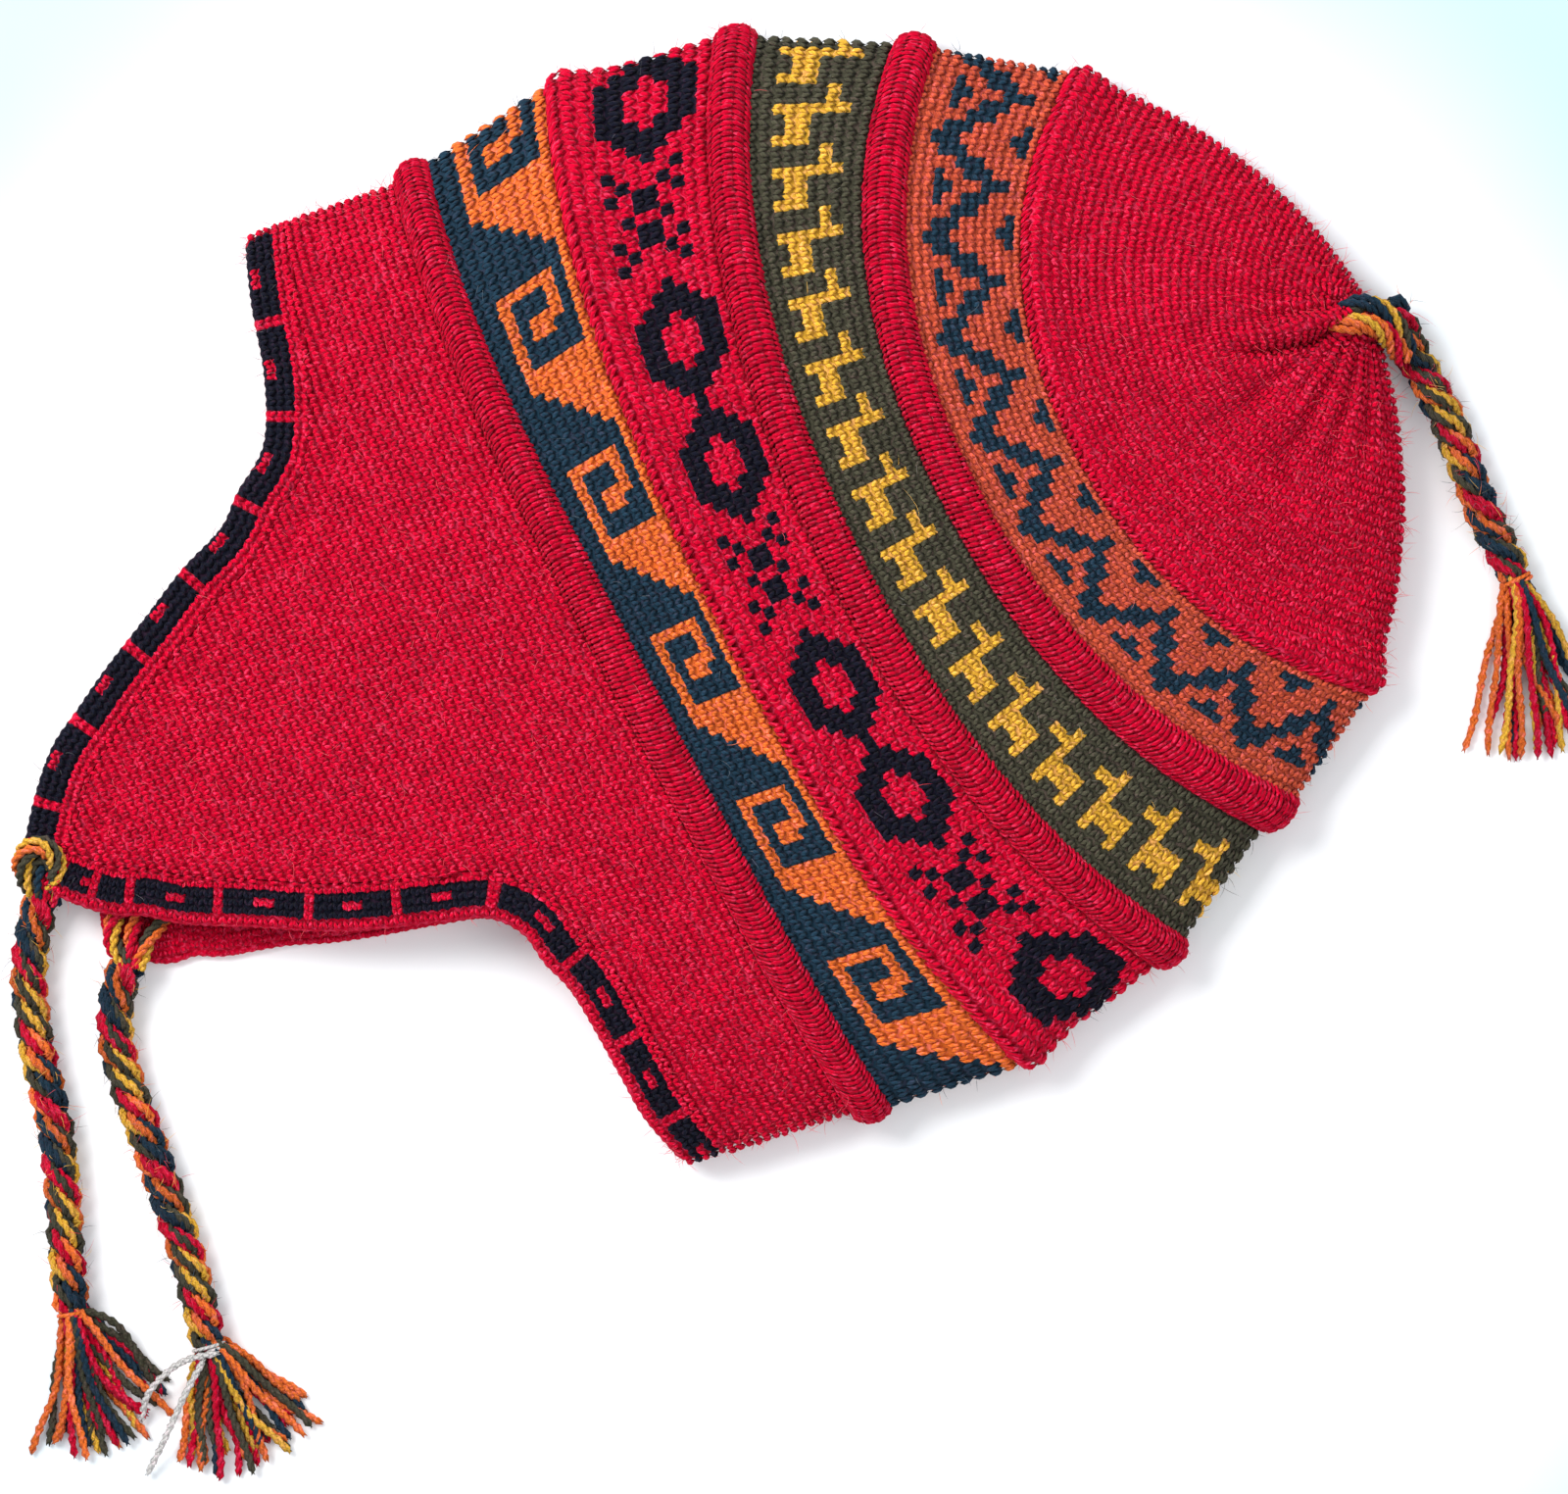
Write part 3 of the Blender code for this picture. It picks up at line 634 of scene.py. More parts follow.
class Finish:
    """A material whose nodes are added one by one."""

    def __init__(self, name):
        self.material = bpy.data.materials.new(name)
        self.material.use_nodes = True
        self.nodes = self.material.node_tree.nodes
        self.links = self.material.node_tree.links
        self.shader = self.nodes["Principled BSDF"]

    def node(self, kind, settings=None, inputs=None, output=0):
        """Adds a node, sets it up first and then its sockets, and gives one of its outputs."""
        made = self.nodes.new(kind)
        for name, value in (settings or {}).items():
            setattr(made, name, value)
        for name, value in (inputs or {}).items():
            self.feed(made.inputs[name], value)
        return Value(self, made.outputs[output])

    def feed(self, socket, value):
        """Links a value to a socket, or sets it."""
        if isinstance(value, Value):
            self.links.new(value.socket, socket)
        elif socket.type == "RGBA":
            socket.default_value = (*value, 1.0)
        else:
            socket.default_value = value

    def set(self, **inputs):
        """Sets or feeds the shader's own sockets, named with _ for a space."""
        for name, value in inputs.items():
            self.feed(self.shader.inputs[name.replace("_", " ")], value)

    def noise(self, scale, detail, place, roughness=0.6):
        values = {"Vector": place, "Scale": scale, "Detail": detail, "Roughness": roughness}
        return self.node("ShaderNodeTexNoise", None, values)

    def blend(self, kind, share, first, second):
        """Mixes two colours."""
        kinds = {"data_type": "RGBA", "blend_type": kind, "clamp_result": False}
        return self.node("ShaderNodeMix", kinds, {"Factor": share, 6: first, 7: second}, output=2)


def yarn_finish(name, plies, highlight_strength, relief, base):
    """Soft spun yarn: its colour comes from the piece, with pale streaks that are partly wool flecks and partly painted
    highlights, painted shade in the grooves between twisted plies, and a woolly bump.
    """
    finish = Finish(name)
    place = finish.node("ShaderNodeTexCoord", output=3)
    strand = finish.node("ShaderNodeUVMap", {"uv_map": "strand"})
    around = finish.node("ShaderNodeSeparateXYZ", None, {0: strand})
    along = Value(finish, around.socket.node.outputs[1])
    colour = finish.node("ShaderNodeVertexColor", {"layer_name": "yarn"})
    ply = ((around * plies + along * 2.0) * 6.2832).sine() * 0.5 + 0.5
    cloud = finish.noise(90.0, 3.0, place)
    spot = finish.noise(300.0, 1.0, place)
    wool = finish.noise(1500.0, 4.0, place, 0.75)
    drawn = finish.node("ShaderNodeCombineXYZ", None, {0: around * 3.6, 1: along * 1.1, 2: spot * 7.0})
    streak = finish.noise(1.0, 2.0, drawn, 0.6)
    # The streaks along each strand are partly wool flecks and partly painted highlights on the legs.
    span = {"Value": streak, "From Min": 0.51, "From Max": 0.63, "To Max": highlight_strength}
    light = finish.node("ShaderNodeMapRange", None, span)
    # The tone holds random cloud and wool grain, painted shade in the grooves between the plies and the streaks'
    # painted highlight.
    tone = (cloud - 0.5) * 0.40 + ply * 0.16 + light * 0.12 + (wool - 0.5) * 0.5 + base
    grey = finish.node("ShaderNodeCombineColor", None, {"Red": tone, "Green": tone, "Blue": tone})
    shaded = finish.blend("MULTIPLY", 1.0, colour, grey)
    brightness = finish.node("ShaderNodeSeparateColor", None, {0: colour})
    # The streaks also add a pale pink, weaker on dark yarns: partly wool flecks, partly painted highlight.
    highlighted = finish.blend("ADD", light * (brightness * 0.42 + 0.04), shaded, (0.50, 0.12, 0.27))
    height = wool * 0.8 + ply * 0.6
    bump = finish.node("ShaderNodeBump", None, {"Height": height, "Strength": relief, "Distance": 0.0006})
    finish.set(Base_Color=highlighted, Roughness=wool * 0.2 + 0.78, Normal=bump)
    finish.set(Sheen_Weight=0.03, Sheen_Roughness=0.5, Specular_IOR_Level=0.03)
    return finish.material


def fibre_finish(name):
    """Fine loose fibres in the colour of their piece; the knit's fibres carry a painted highlight."""
    finish = Finish(name)
    colour = finish.node("ShaderNodeVertexColor", {"layer_name": "yarn"})
    place = finish.node("ShaderNodeTexCoord", output=3)
    cloud = finish.noise(400.0, 2.0, place)
    finish.set(Base_Color=colour, Roughness=cloud * 0.2 + 0.7, Sheen_Weight=0.3)
    return finish.material


def floor_finish(name):
    """A matt white table top with a painted pool of light round the hat: away from it the top turns darker and faintly
    cool.
    """
    finish = Finish(name)
    place = finish.node("ShaderNodeTexCoord", output=3)
    cloud = finish.noise(6.0, 2.0, place)
    middle = (-0.008, -0.064, 0.0)
    gap = finish.node("ShaderNodeVectorMath", {"operation": "DISTANCE"}, {0: place, 1: middle}, output=1)
    span = {"Value": gap, "From Min": 0.17, "From Max": 0.26}
    away = finish.node("ShaderNodeMapRange", {"interpolation_type": "SMOOTHSTEP"}, span)
    # Painted light: near white round the hat, darker and cool further off, mottled by the cloud noise.
    painted_light_pool = finish.blend("MIX", away * (cloud * 0.5 + 0.6), (0.93, 0.94, 0.95), (0.44, 0.64, 0.74))
    finish.set(Base_Color=painted_light_pool, Roughness=0.9, Specular_IOR_Level=0.1)
    return finish.material


# Knitted pieces

SHEETS = {}  # every knitted face with its rows, columns, colours and the stitches that are kept


def linear(sizes, name):
    """One yarn colour of the settings as an array."""
    return np.array(getattr(sizes, name)[:3])


def cells(rows, columns):
    """Row and column of every stitch, and its share round the hat."""
    row, column = np.meshgrid(np.arange(rows), np.arange(columns), indexing="ij")
    return row.ravel(), column.ravel(), (column.ravel() + 0.5) / columns


def knit(heap, sheet, rows, columns, colour, seed, lift, sign=1, keep=None, out=None, fine=FINE, splay=OPEN_V):
    """Covers a sheet with rows of stitches. colour gives a colour for arrays of rows and columns."""
    row, column, share = cells(rows, columns)
    base = (row + (0.0 if sign > 0 else 1.0)) / rows
    chosen = np.ones(len(row), bool) if keep is None else keep(base, share)
    tall, wide = np.full(len(row), sign / rows), np.full(len(row), 1.0 / columns)
    shades = colour(row, column)
    proud = np.zeros(len(row)) if out is None else out(base, share)
    for upper, detail in ((True, fine), (False, COARSE)):
        pick = chosen & ((share < 0.5) == upper)
        place = (base[pick], share[pick], tall[pick], wide[pick])
        stitches(heap, sheet, *place, shades[pick], *detail, seed, lift, proud[pick], splay)


def chart_colour(chart, ground, figure):
    """Colours of stitches that repeat a chart, which is written from the crown side."""
    figures = np.array([[letter == "o" for letter in line] for line in chart[::-1]])

    def colour(row, column):
        on = figures[np.minimum(row, len(figures) - 1), column % figures.shape[1]]
        return np.where(on[:, None], figure, ground)

    return colour


def band_from(first):
    """The body's outer face with its rows counted from one line."""
    return lambda along, way: band_face(first + along, way)


def lipped_face(first):
    """A band's outer face with an overhanging first edge."""

    def face(along, way):
        share = np.interp(along, (0.0, 0.035, 0.09, 0.20, 0.36), (0.0, 0.85, 1.0, 0.5, 0.0))
        return raised(band_from(first), along, way, flattened(way, LIP_PROUD) * share)

    return face


def ridge_face(first):
    """The half roll of a ridge."""

    def face(along, way):
        out = flattened(way, RIDGE_PROUD) * math.sin(math.pi * min(max(along, 0.0), 1.0))
        return raised(band_from(first), 0.5 - 0.5 * math.cos(math.pi * along), way, out)

    return face


def gathered(rise, way):
    """How deep the folds at the crown tip are."""
    depth = np.zeros(len(way))
    for place, drift, reach, width, deep in GATHERS:
        start = 1 - reach
        if rise > start:
            off = np.abs((way - place - drift * (1 - rise) + 0.5) % 1 - 0.5) / width
            share = min(1.0, (rise - start) / (0.4 * reach)) * min(1.0, (1.03 - rise) / 0.12)
            depth += WALL * deep * np.exp(-(off**2)) * share
    return depth


def crown_relief(rise, way):
    """The crown with its rolled lower edge and its gathers."""
    lip = np.interp(rise, (0.004, 0.014, 0.036, 0.075, 0.130), (0.0, 0.85, 1.0, 0.55, 0.0))
    return raised(crown_face, rise, way, flattened(way, LIP_PROUD) * lip - gathered(rise, way))


def finish_piece(made, material, slot, *nodes):
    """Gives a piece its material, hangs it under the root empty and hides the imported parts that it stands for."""
    made.data.materials.append(material)
    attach(made, "root")
    if nodes:
        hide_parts(*nodes)
    return made


def plain(shade):
    """One colour for all stitches."""
    return lambda row, column: np.broadcast_to(shade, (len(row), 3))


def knit_band(name, face, rows, columns, colour, inner, lift, seed, material, splay=OPEN_V):
    """One band of the hat: its cloth and its stitches."""
    sheet = Sheet(face, np.linspace(0, 1, 3 * rows + 1))
    heap = Heap()
    cloth(heap, sheet, rows, columns, colour, inner)
    knit(heap, sheet, rows, columns, colour, seed, lift, splay=splay)
    SHEETS[name] = (sheet, rows, columns, colour, None)
    return finish_piece(heap.piece(name + "_knit"), material, name, name)


def inside_outline(points, outline):
    """Which plan points lie inside a closed outline."""
    x, y = points[:, 0, None], points[:, 1, None]
    ax, ay = outline[:, 0], outline[:, 1]
    bx, by = np.roll(ax, -1), np.roll(ay, -1)
    crosses = ((ay > y) != (by > y)) & (x < (bx - ax) * (y - ay) / np.where(by == ay, 1e-12, by - ay) + ax)
    return crosses.sum(1) % 2 == 1


def rim_outline(lower, inset):
    """The outline of one layer of the skirt as a run of plan points along its rim."""
    return rim_plan(np.linspace(0, 1, 240), lower, inset) + SHIFT[:2]


def distance(points, line):
    """How far plan points are from a run of plan points."""
    return np.linalg.norm(points[:, None, :] - line[None, :, :], axis=2).min(1)


def knit_skirt(colour, inner, lift, material):
    """The plain part with both ear flaps: its cloth, and one piece of stitches for each layer."""
    reach = BAND_WIDTHS[0] + FLAP_LENGTH + 0.004
    rows, columns = round(reach / 0.0021), 220
    sheet = Sheet(wale_face, np.linspace(0, reach, 2 * rows + 1))
    rims, outlines = [], []
    far_x, far_y = 0.2, 0.3  # beyond the hat
    for lower in (0, 1):
        seam = rim_outline(lower, EDGING_WIDTH - 0.0004)
        corners = ((seam[-1, 0], -far_y), (far_x, -far_y), (far_x, far_y), (seam[0, 0], far_y))
        outlines.append(np.vstack([seam, corners]))
        rims.append(rim_outline(lower, 0.0))

    def measured(base, share, measure, lines):
        """A measure of plan points against the line of their own layer."""
        points = sheet.mix(sheet.points, base, share)[:, :2]
        return np.where(share < 0.5, measure(points, lines[0]), measure(points, lines[1]))

    def keep(base, share):
        return measured(base - 0.5 / rows, share, inside_outline, outlines)

    def hem(base, share):
        gap = measured(base, share, distance, rims)
        folds = np.minimum(share % 0.5, 0.5 - share % 0.5)
        step = np.clip((HEM_WIDTH + 0.0008 - gap) / 0.0016, 0, 1)
        groove = np.exp(-(((gap - HEM_WIDTH - 0.0012) / 0.0010) ** 2))
        return HEM_PROUD * (step - groove) * np.clip(folds / 0.02, 0, 1)

    SHEETS["ear_flap_skirt"] = (sheet, rows, columns, colour, keep)
    backing = Heap()
    seamed = Sheet(lambda down, way: skirt_face(down, way, EDGING_WIDTH + GAP), np.linspace(0, 1, 33))
    cloth(backing, seamed, 32, 180, colour, inner)
    for layer, heap, fine in (("upper", Heap(), FINE), ("under", backing, COARSE)):

        def layer_keep(base, share, wanted=layer == "upper"):
            return keep(base, share) & ((share < 0.5) == wanted)

        knit(heap, sheet, rows, columns, colour, 31, lift, sign=-1, keep=layer_keep, out=hem, fine=fine)
        finish_piece(heap.piece(f"ear_flap_{layer}_knit"), material, "ear_flap_skirt", "ear_flap_skirt")


# Section round the edging, from its seam above to its seam below: out in its widths, height in its walls
EDGING_PROFILE = np.array(
    (
        (0.0, 0.0), (0.60, 0.0), (0.86, -0.05), (0.97, -0.25), (1.0, -0.5),
        (0.97, -0.75), (0.86, -0.95), (0.60, -1.0), (0.0, -0.8125),
    )
)


def edging_wrap(along, way):
    """The face that wraps round the rim, from the seam on top to the seam below."""
    profile = EDGING_PROFILE * (EDGING_WIDTH, EDGING_WALL)
    run = lengths(profile)
    out = np.interp(along * run[-1], run, profile[:, 0]) / EDGING_WIDTH
    deep = np.interp(along * run[-1], run, profile[:, 1])
    return raised(edging_face, out, way, deep)


def knit_edging(colour, lift, material):
    """The black and red edging round both flaps, with a yarn along its rim."""
    rows, columns = 11, 300
    sheet = Sheet(edging_wrap, np.linspace(0, 1, 4 * rows + 1), steps=1200, upright=0.1, guide=0.5)
    heap = Heap()
    cloth(heap, sheet, rows, columns, colour)
    knit(heap, sheet, rows, columns, colour, 47, lift, sign=-1)
    SHEETS["edging"] = (sheet, rows, columns, colour, None)
    count = 1261
    share = np.linspace(0, 1, count)
    edge = sheet.spot(np.full(count, 0.5), share, np.full(count, 0.0001))
    radius = 0.00092 * (1 + 0.16 * np.sin(share * 2 * math.pi * columns))
    shades = 0.85 * colour(np.full(count, rows // 2), (share * columns).astype(int) % columns)
    tubes(heap, [edge], radius, 6, np.vstack([shades[:1], np.repeat(shades[1:-1], 6, axis=0), shades[-1:]])[None])
    return finish_piece(heap.piece("edging_knit"), material, "edging", "edging")


# Zones of the crown as its stitches get fewer: start and end as shares of its depth, columns, rows
CROWN_ZONES = (
    (0.0, 0.34, 150, 13),
    (0.34, 0.58, 120, 9),
    (0.58, 0.78, 90, 8),
    (0.78, 0.91, 60, 6),
    (0.91, 0.995, 30, 5),
)


def knit_crown(red, lift, material):
    """The crown with its stitches getting fewer towards the gathered tip."""
    sheet = Sheet(crown_relief, np.linspace(0, 1, 121))
    heap = Heap()
    # The inner skin is the red yarn darkened to 0.8 as painted shade inside the hat.
    cloth(heap, sheet, 60, 144, plain(red), 0.8 * red)
    SHEETS["crown_cap"] = (sheet, 60, 144, plain(red), None)
    for start, end, columns, rows in CROWN_ZONES:
        row, _, share = cells(rows, columns)
        base = start + (end - start) * row / rows
        for upper, detail in ((True, FINE), (False, COARSE)):
            pick = (share < 0.5) == upper
            count = pick.sum()
            tall, wide = np.full(count, (end - start) / rows), np.full(count, 1.0 / columns)
            shades = np.broadcast_to(red, (count, 3))
            place = (base[pick], share[pick], tall, wide)
            stitches(heap, sheet, *place, shades, *detail, columns, lift, np.zeros(count))
    # A disc closes the tip's ring in the red yarn darkened to 0.6, as painted shade in the gathered tip.
    ring = sheet.mix(sheet.points, np.full(24, 1.0), np.arange(24) / 24)
    points = np.vstack([ring, ring.mean(0) + (0.0006, 0, 0)])
    heap.add(points[None], [(k, (k + 1) % 24, 24) for k in range(24)], 0.6 * red)
    return finish_piece(heap.piece("crown_cap_knit"), material, "crown_cap", "crown_cap")


# Ropes, tassels and loose fibres


def tubes(heap, lines, radius, sides, colours, pitch=0.0025):
    """Adds closed tubes along lines of one length of points. colours has one row a line or a point of a line."""
    lines = np.asarray(lines)
    count, size = lines.shape[:2]
    along = np.gradient(lines, axis=1)
    along /= np.linalg.norm(along, axis=-1, keepdims=True) + 1e-12
    u = np.cross(along, (0.13, 0.21, 0.97))
    u /= np.linalg.norm(u, axis=-1, keepdims=True) + 1e-12
    v = np.cross(along, u)
    turn = 2 * np.pi * np.arange(sides) / sides
    radius = np.broadcast_to(radius, (count, size))[..., None, None]
    rings = lines[:, :, None] + radius * swung(turn, u[:, :, None], v[:, :, None])
    body = rings[:, 1:-1].reshape(count, -1, 3)
    points = np.concatenate([lines[:, :1], body, lines[:, -1:]], 1)
    run = np.concatenate([np.zeros((count, 1)), np.cumsum(np.linalg.norm(np.diff(lines, axis=1), axis=2), 1)], 1)
    faces = [(face[0], *face[:0:-1]) for face in tube_faces(sides, size - 2)]
    share = np.tile(np.arange(sides) / sides, size - 2)
    mean = run.mean(0) / pitch
    uvs = np.stack([np.r_[0.5, share, 0.5], np.r_[mean[0], np.repeat(mean[1:-1], sides), mean[-1]]], 1)
    colours = np.broadcast_to(np.asarray(colours)[:, None, :], points.shape) if np.ndim(colours) == 2 else colours
    heap.add(points, faces, colours, uvs)


def resampled(line, count):
    """A line as evenly spaced points."""
    run = lengths(line)
    at = np.linspace(0, run[-1], count)
    return np.stack([np.interp(at, run, line[:, k]) for k in range(3)], 1), at


def rope_axes(line):
    """Directions to the side of a rope and up from it, all along its line."""
    along = unit(np.gradient(line, axis=0))
    side = unit(np.cross((0, 0, 1), along))
    return side, np.cross(along, side)


def yarn_mix(palette, letters):
    """Colours of yarns by their letters: teal, olive, red, orange (n), yellow."""
    return np.array([palette[letter] for letter in letters])


STRANDS = ("ttoyo", "rrnro", "ntnyo")  # the yarns of each strand
LAY = 0.0160  # length of rope in which a strand goes round once
ROPE_END = 0.0040  # how far a rope's yarns run on into its tassel
PLY_APART = 0.00050  # from the middle of a yarn to that of each of its plies
STRAND_APART = 0.0022  # from the middle of a rope to that of each strand
YARN_APART = 0.00140  # from the middle of a strand to that of each yarn
LOWEST_YARN = 0.00092  # height of the middle of a tassel's yarn on the table
ROPE_HAIRS = 170


def two_plies(base, offset, pitch, start):
    """Two lines that twist round each other along a base line."""
    side, up = rope_axes(base)
    away = offset * swung(start + 2 * math.pi * lengths(base) / pitch, side, up)
    return [base + away, base - away]


def twist_rope(name, palette, material):
    """A rope of three strands of five two-ply yarns, laid to the left."""
    line = placed(ROUTES[name], 12)
    route = resampled(line, 80)[0]
    line = np.vstack([line, line[-1] + unit(line[-1] - line[-2]) * ROPE_END])
    length = lengths(line)[-1]
    centre, at = resampled(line, round(length / 0.00095))
    side, up = rope_axes(centre)
    heap = Heap()
    chance = np.random.default_rng(len(name))
    taper = np.clip(np.minimum(at + 0.0025, length - at + 0.0026) / 0.005, 0.5, 1)
    for strand, letters in enumerate(STRANDS):
        turn = -2 * math.pi * at / LAY + 2 * math.pi * strand / 3 + 0.9
        middle = centre + (STRAND_APART * taper)[:, None] * swung(turn, side, up)
        lines, shades = [], []
        for yarn, shade in enumerate(yarn_mix(palette, letters)):
            roll = 2 * math.pi * (at / 0.048 + yarn / len(letters)) + 0.30 * np.sin(at * 260 + yarn)
            spread = YARN_APART * (0.96 + 0.06 * chance.normal()) * taper
            base = middle + spread[:, None] * swung(roll, side, up)
            lines += two_plies(base, PLY_APART, 0.0054, chance.uniform(0, 2 * math.pi))
            shades += [shade * (1 + 0.10 * chance.normal())] * 2
        tubes(heap, lines, 0.00066 * (0.6 + 0.4 * taper), 4, np.array(shades))
    return finish_piece(heap.piece(name + "_rope"), material, name, name), route


def neck_wraps(heap, centre, axis, radius, turns, pitch, yarn, colour):
    """Adds a yarn wound round a rope's neck."""
    side = unit(np.cross((0, 0, 1), axis))
    t = np.linspace(0, turns, int(16 * turns) + 1)
    ring = radius * swung(2 * math.pi * t, side, np.cross(axis, side))
    tubes(heap, [centre + (t - turns / 2)[:, None] * pitch * axis + ring], yarn, 6, np.array([colour]))


# Rope, heading and fan in degrees, shortest and longest yarn, yarns from one side to the other
TASSELS = {
    "upper_tassel": ("upper_tie", -89.0, 76.0, 0.021, 0.029, "onnnrtonntoroyrnttyonrrtrronroto"),
    "lower_tassel": ("lower_tie", -85.0, 84.0, 0.0190, 0.0265, "nroynntrnoryonrnytrnrtyonrtnnrtnonnn"),
    "crown_tassel": ("crown_braid", -104.0, 50.0, 0.028, 0.037, "nnyrrtnnrytrrnonytrrtnnrytto"),
}

# Knots of the white thread's two ends
TAILS = (
    (
        (-0.1668, -0.1141, 0.0088), (-0.1746, -0.1127, 0.0082), (-0.1812, -0.1141, 0.0066),
        (-0.1867, -0.1172, 0.0042), (-0.1903, -0.1223, 0.0013),
    ),
    (
        (-0.1705, -0.1138, 0.0088), (-0.1774, -0.1193, 0.0080), (-0.1842, -0.1255, 0.0060),
        (-0.1888, -0.1296, 0.0036), (-0.1940, -0.1340, 0.0014),
    ),
)


def make_tassel(name, palette, white, material):
    """A bound neck and a fan of loose two-ply yarns that lie on the floor."""
    rope, heading, fan, shortest, longest, letters = TASSELS[name]
    route = np.array(ROUTES[rope])
    run = unit(route[-1] - route[-2])
    neck = route[-1] + run * (ROPE_END - 0.0022)
    neck[2] = 0.0042
    chance = np.random.default_rng(len(letters))
    heap = Heap()
    t = np.linspace(0, 1, 24)
    lines, shades = [], []
    aside = np.cross(run, (0, 0, 1))
    for k, letter in enumerate(letters):
        share = (k + 0.5) / len(letters) * 2 - 1
        layer = (k * 7 % 5) / 4
        turn = math.radians(heading + fan / 2 * share + 3.5 * chance.normal())
        length = chance.uniform(shortest, longest)
        way = np.array((math.cos(turn), math.sin(turn), 0.0))
        across = np.array((-way[1], way[0], 0.0))
        start = neck - aside * 0.0024 * share * (1 - 0.5 * layer)
        start[2] = 0.0022 + 0.0038 * layer
        bend = chance.normal(0, 0.0016)
        base = start + run * 0.007 * (1 - (1 - t[:, None]) ** 2) + way * (length * t[:, None] ** 1.3)
        base = base + across * (bend * np.sin(math.pi * t) + 0.0005 * np.sin(9 * t + 6 * layer))[:, None]
        # It leaves the neck at its layer's height, swells a little and comes to rest on the yarns below it
        rest = 0.0010 + 0.0045 * layer * (1 - 0.5 * abs(share))
        swell = 0.0016 * (layer + 0.2) * np.sin(math.pi * np.clip(t / 0.55, 0, 1))
        height = start[2] * (1 - t) ** 2 + rest * (1 - (1 - t) ** 2) + swell
        base[:, 2] = np.maximum(height * (1 - 0.62 * t**3), LOWEST_YARN)
        lines += two_plies(base, PLY_APART, 0.0052, chance.uniform(0, 2 * math.pi))
        shades += [palette[letter] * (1 + 0.09 * chance.normal())] * 2
    fall = np.r_[np.full(21, 1.0), 1.05, 0.95, 0.6]
    tubes(heap, lines, 0.00062 * fall, 5, np.array(shades))
    if name == "lower_tassel":
        neck_wraps(heap, neck + run * 0.0020, run, 0.0038, 1.3, 0.0009, 0.00046, white)
        for knots in TAILS:
            tail = resampled(placed(knots, 8), 24)[0]
            tubes(heap, two_plies(tail, 0.00042, 0.0046, 0.0), 0.00052 * fall, 6, np.array([white, white]))
    else:
        neck_wraps(heap, neck + run * 0.0022, run, 0.0033, 1.2, 0.0010, 0.00050, palette["n"])
    return finish_piece(heap.piece(name + "_yarns"), material, name, name)


# Loops of yarn that fasten each rope: colours, then knots in metres
LOOPS = {
    "upper_tie_loops": (
        "yoyno",
        (
            (-0.1653, -0.0030, 0.0066), (-0.1664, 0.0020, 0.0086), (-0.1655, 0.0062, 0.0112),
            (-0.1622, 0.0082, 0.0126), (-0.1592, 0.0068, 0.0124), (-0.1584, 0.0034, 0.0112),
            (-0.1598, 0.0002, 0.0092), (-0.1622, -0.0020, 0.0070),
        ),
    ),
    "upper_tie_hitch": (
        "tro",
        (
            (-0.1644, -0.0040, 0.0072), (-0.1640, 0.0006, 0.0090), (-0.1622, 0.0040, 0.0108),
            (-0.1604, 0.0018, 0.0100), (-0.1614, -0.0026, 0.0078), (-0.1634, -0.0060, 0.0064),
        ),
    ),
    "lower_tie_loops": (
        "yonr",
        (
            (-0.1524, -0.0248, 0.0070), (-0.1540, -0.0204, 0.0068), (-0.1532, -0.0162, 0.0062),
            (-0.1506, -0.0130, 0.0052), (-0.1476, -0.0116, 0.0042),
        ),
    ),
    "lower_tie_middle": (
        "rrn",
        (
            (-0.1520, -0.0262, 0.0072), (-0.1508, -0.0222, 0.0072), (-0.1490, -0.0182, 0.0060),
            (-0.1464, -0.0150, 0.0044),
        ),
    ),
    "lower_tie_hitch": (
        "nyo",
        (
            (-0.1512, -0.0268, 0.0072), (-0.1482, -0.0232, 0.0070), (-0.1452, -0.0206, 0.0060),
            (-0.1424, -0.0188, 0.0048), (-0.1400, -0.0180, 0.0032),
        ),
    ),
    "crown_loops": (
        "nnrny",
        (
            (0.1545, 0.0042, 0.0166), (0.1572, 0.0034, 0.0182), (0.1610, 0.0022, 0.0178),
            (0.1645, -0.0006, 0.0158), (0.1664, -0.0050, 0.0126), (0.1674, -0.0092, 0.0100),
        ),
    ),
    "crown_hitch": (
        "toyt",
        (
            (0.1570, 0.0064, 0.0150), (0.1606, 0.0070, 0.0164), (0.1648, 0.0056, 0.0154),
            (0.1680, 0.0016, 0.0136), (0.1692, -0.0036, 0.0112), (0.1690, -0.0080, 0.0092),
        ),
    ),
}


def yarn_loops(name, palette, material):
    """A loop of a few two-ply yarns that fastens a rope to the knit."""
    letters, knots = LOOPS[name]
    line, at = resampled(placed(knots, 10), 30)
    side, up = rope_axes(line)
    heap = Heap()
    for k, shade in enumerate(yarn_mix(palette, letters)):
        turn = 2 * math.pi * (k / len(letters) + at / 0.022)
        away = 0.00034 * len(letters) * swung(turn, side, up)
        tubes(heap, two_plies(line + away, 0.00048, 0.0050, 2.0 * k), 0.00060, 5, np.array([shade, shade]))
    return finish_piece(heap.piece(name), material, "upper_tie")


def fibre_lines(chance, start, lean, longest, bend):
    """Curled lines of a few points that lean away from their starts."""
    lean = unit(lean)
    curl = np.cross(lean, chance.normal(0, 1, lean.shape))
    length = chance.uniform(0.0015, longest, (len(lean), 1, 1))
    t = np.linspace(0, 1, 5)[None, :, None]
    return start[:, None] + length * (lean[:, None] * t + bend * curl[:, None] * t**2)


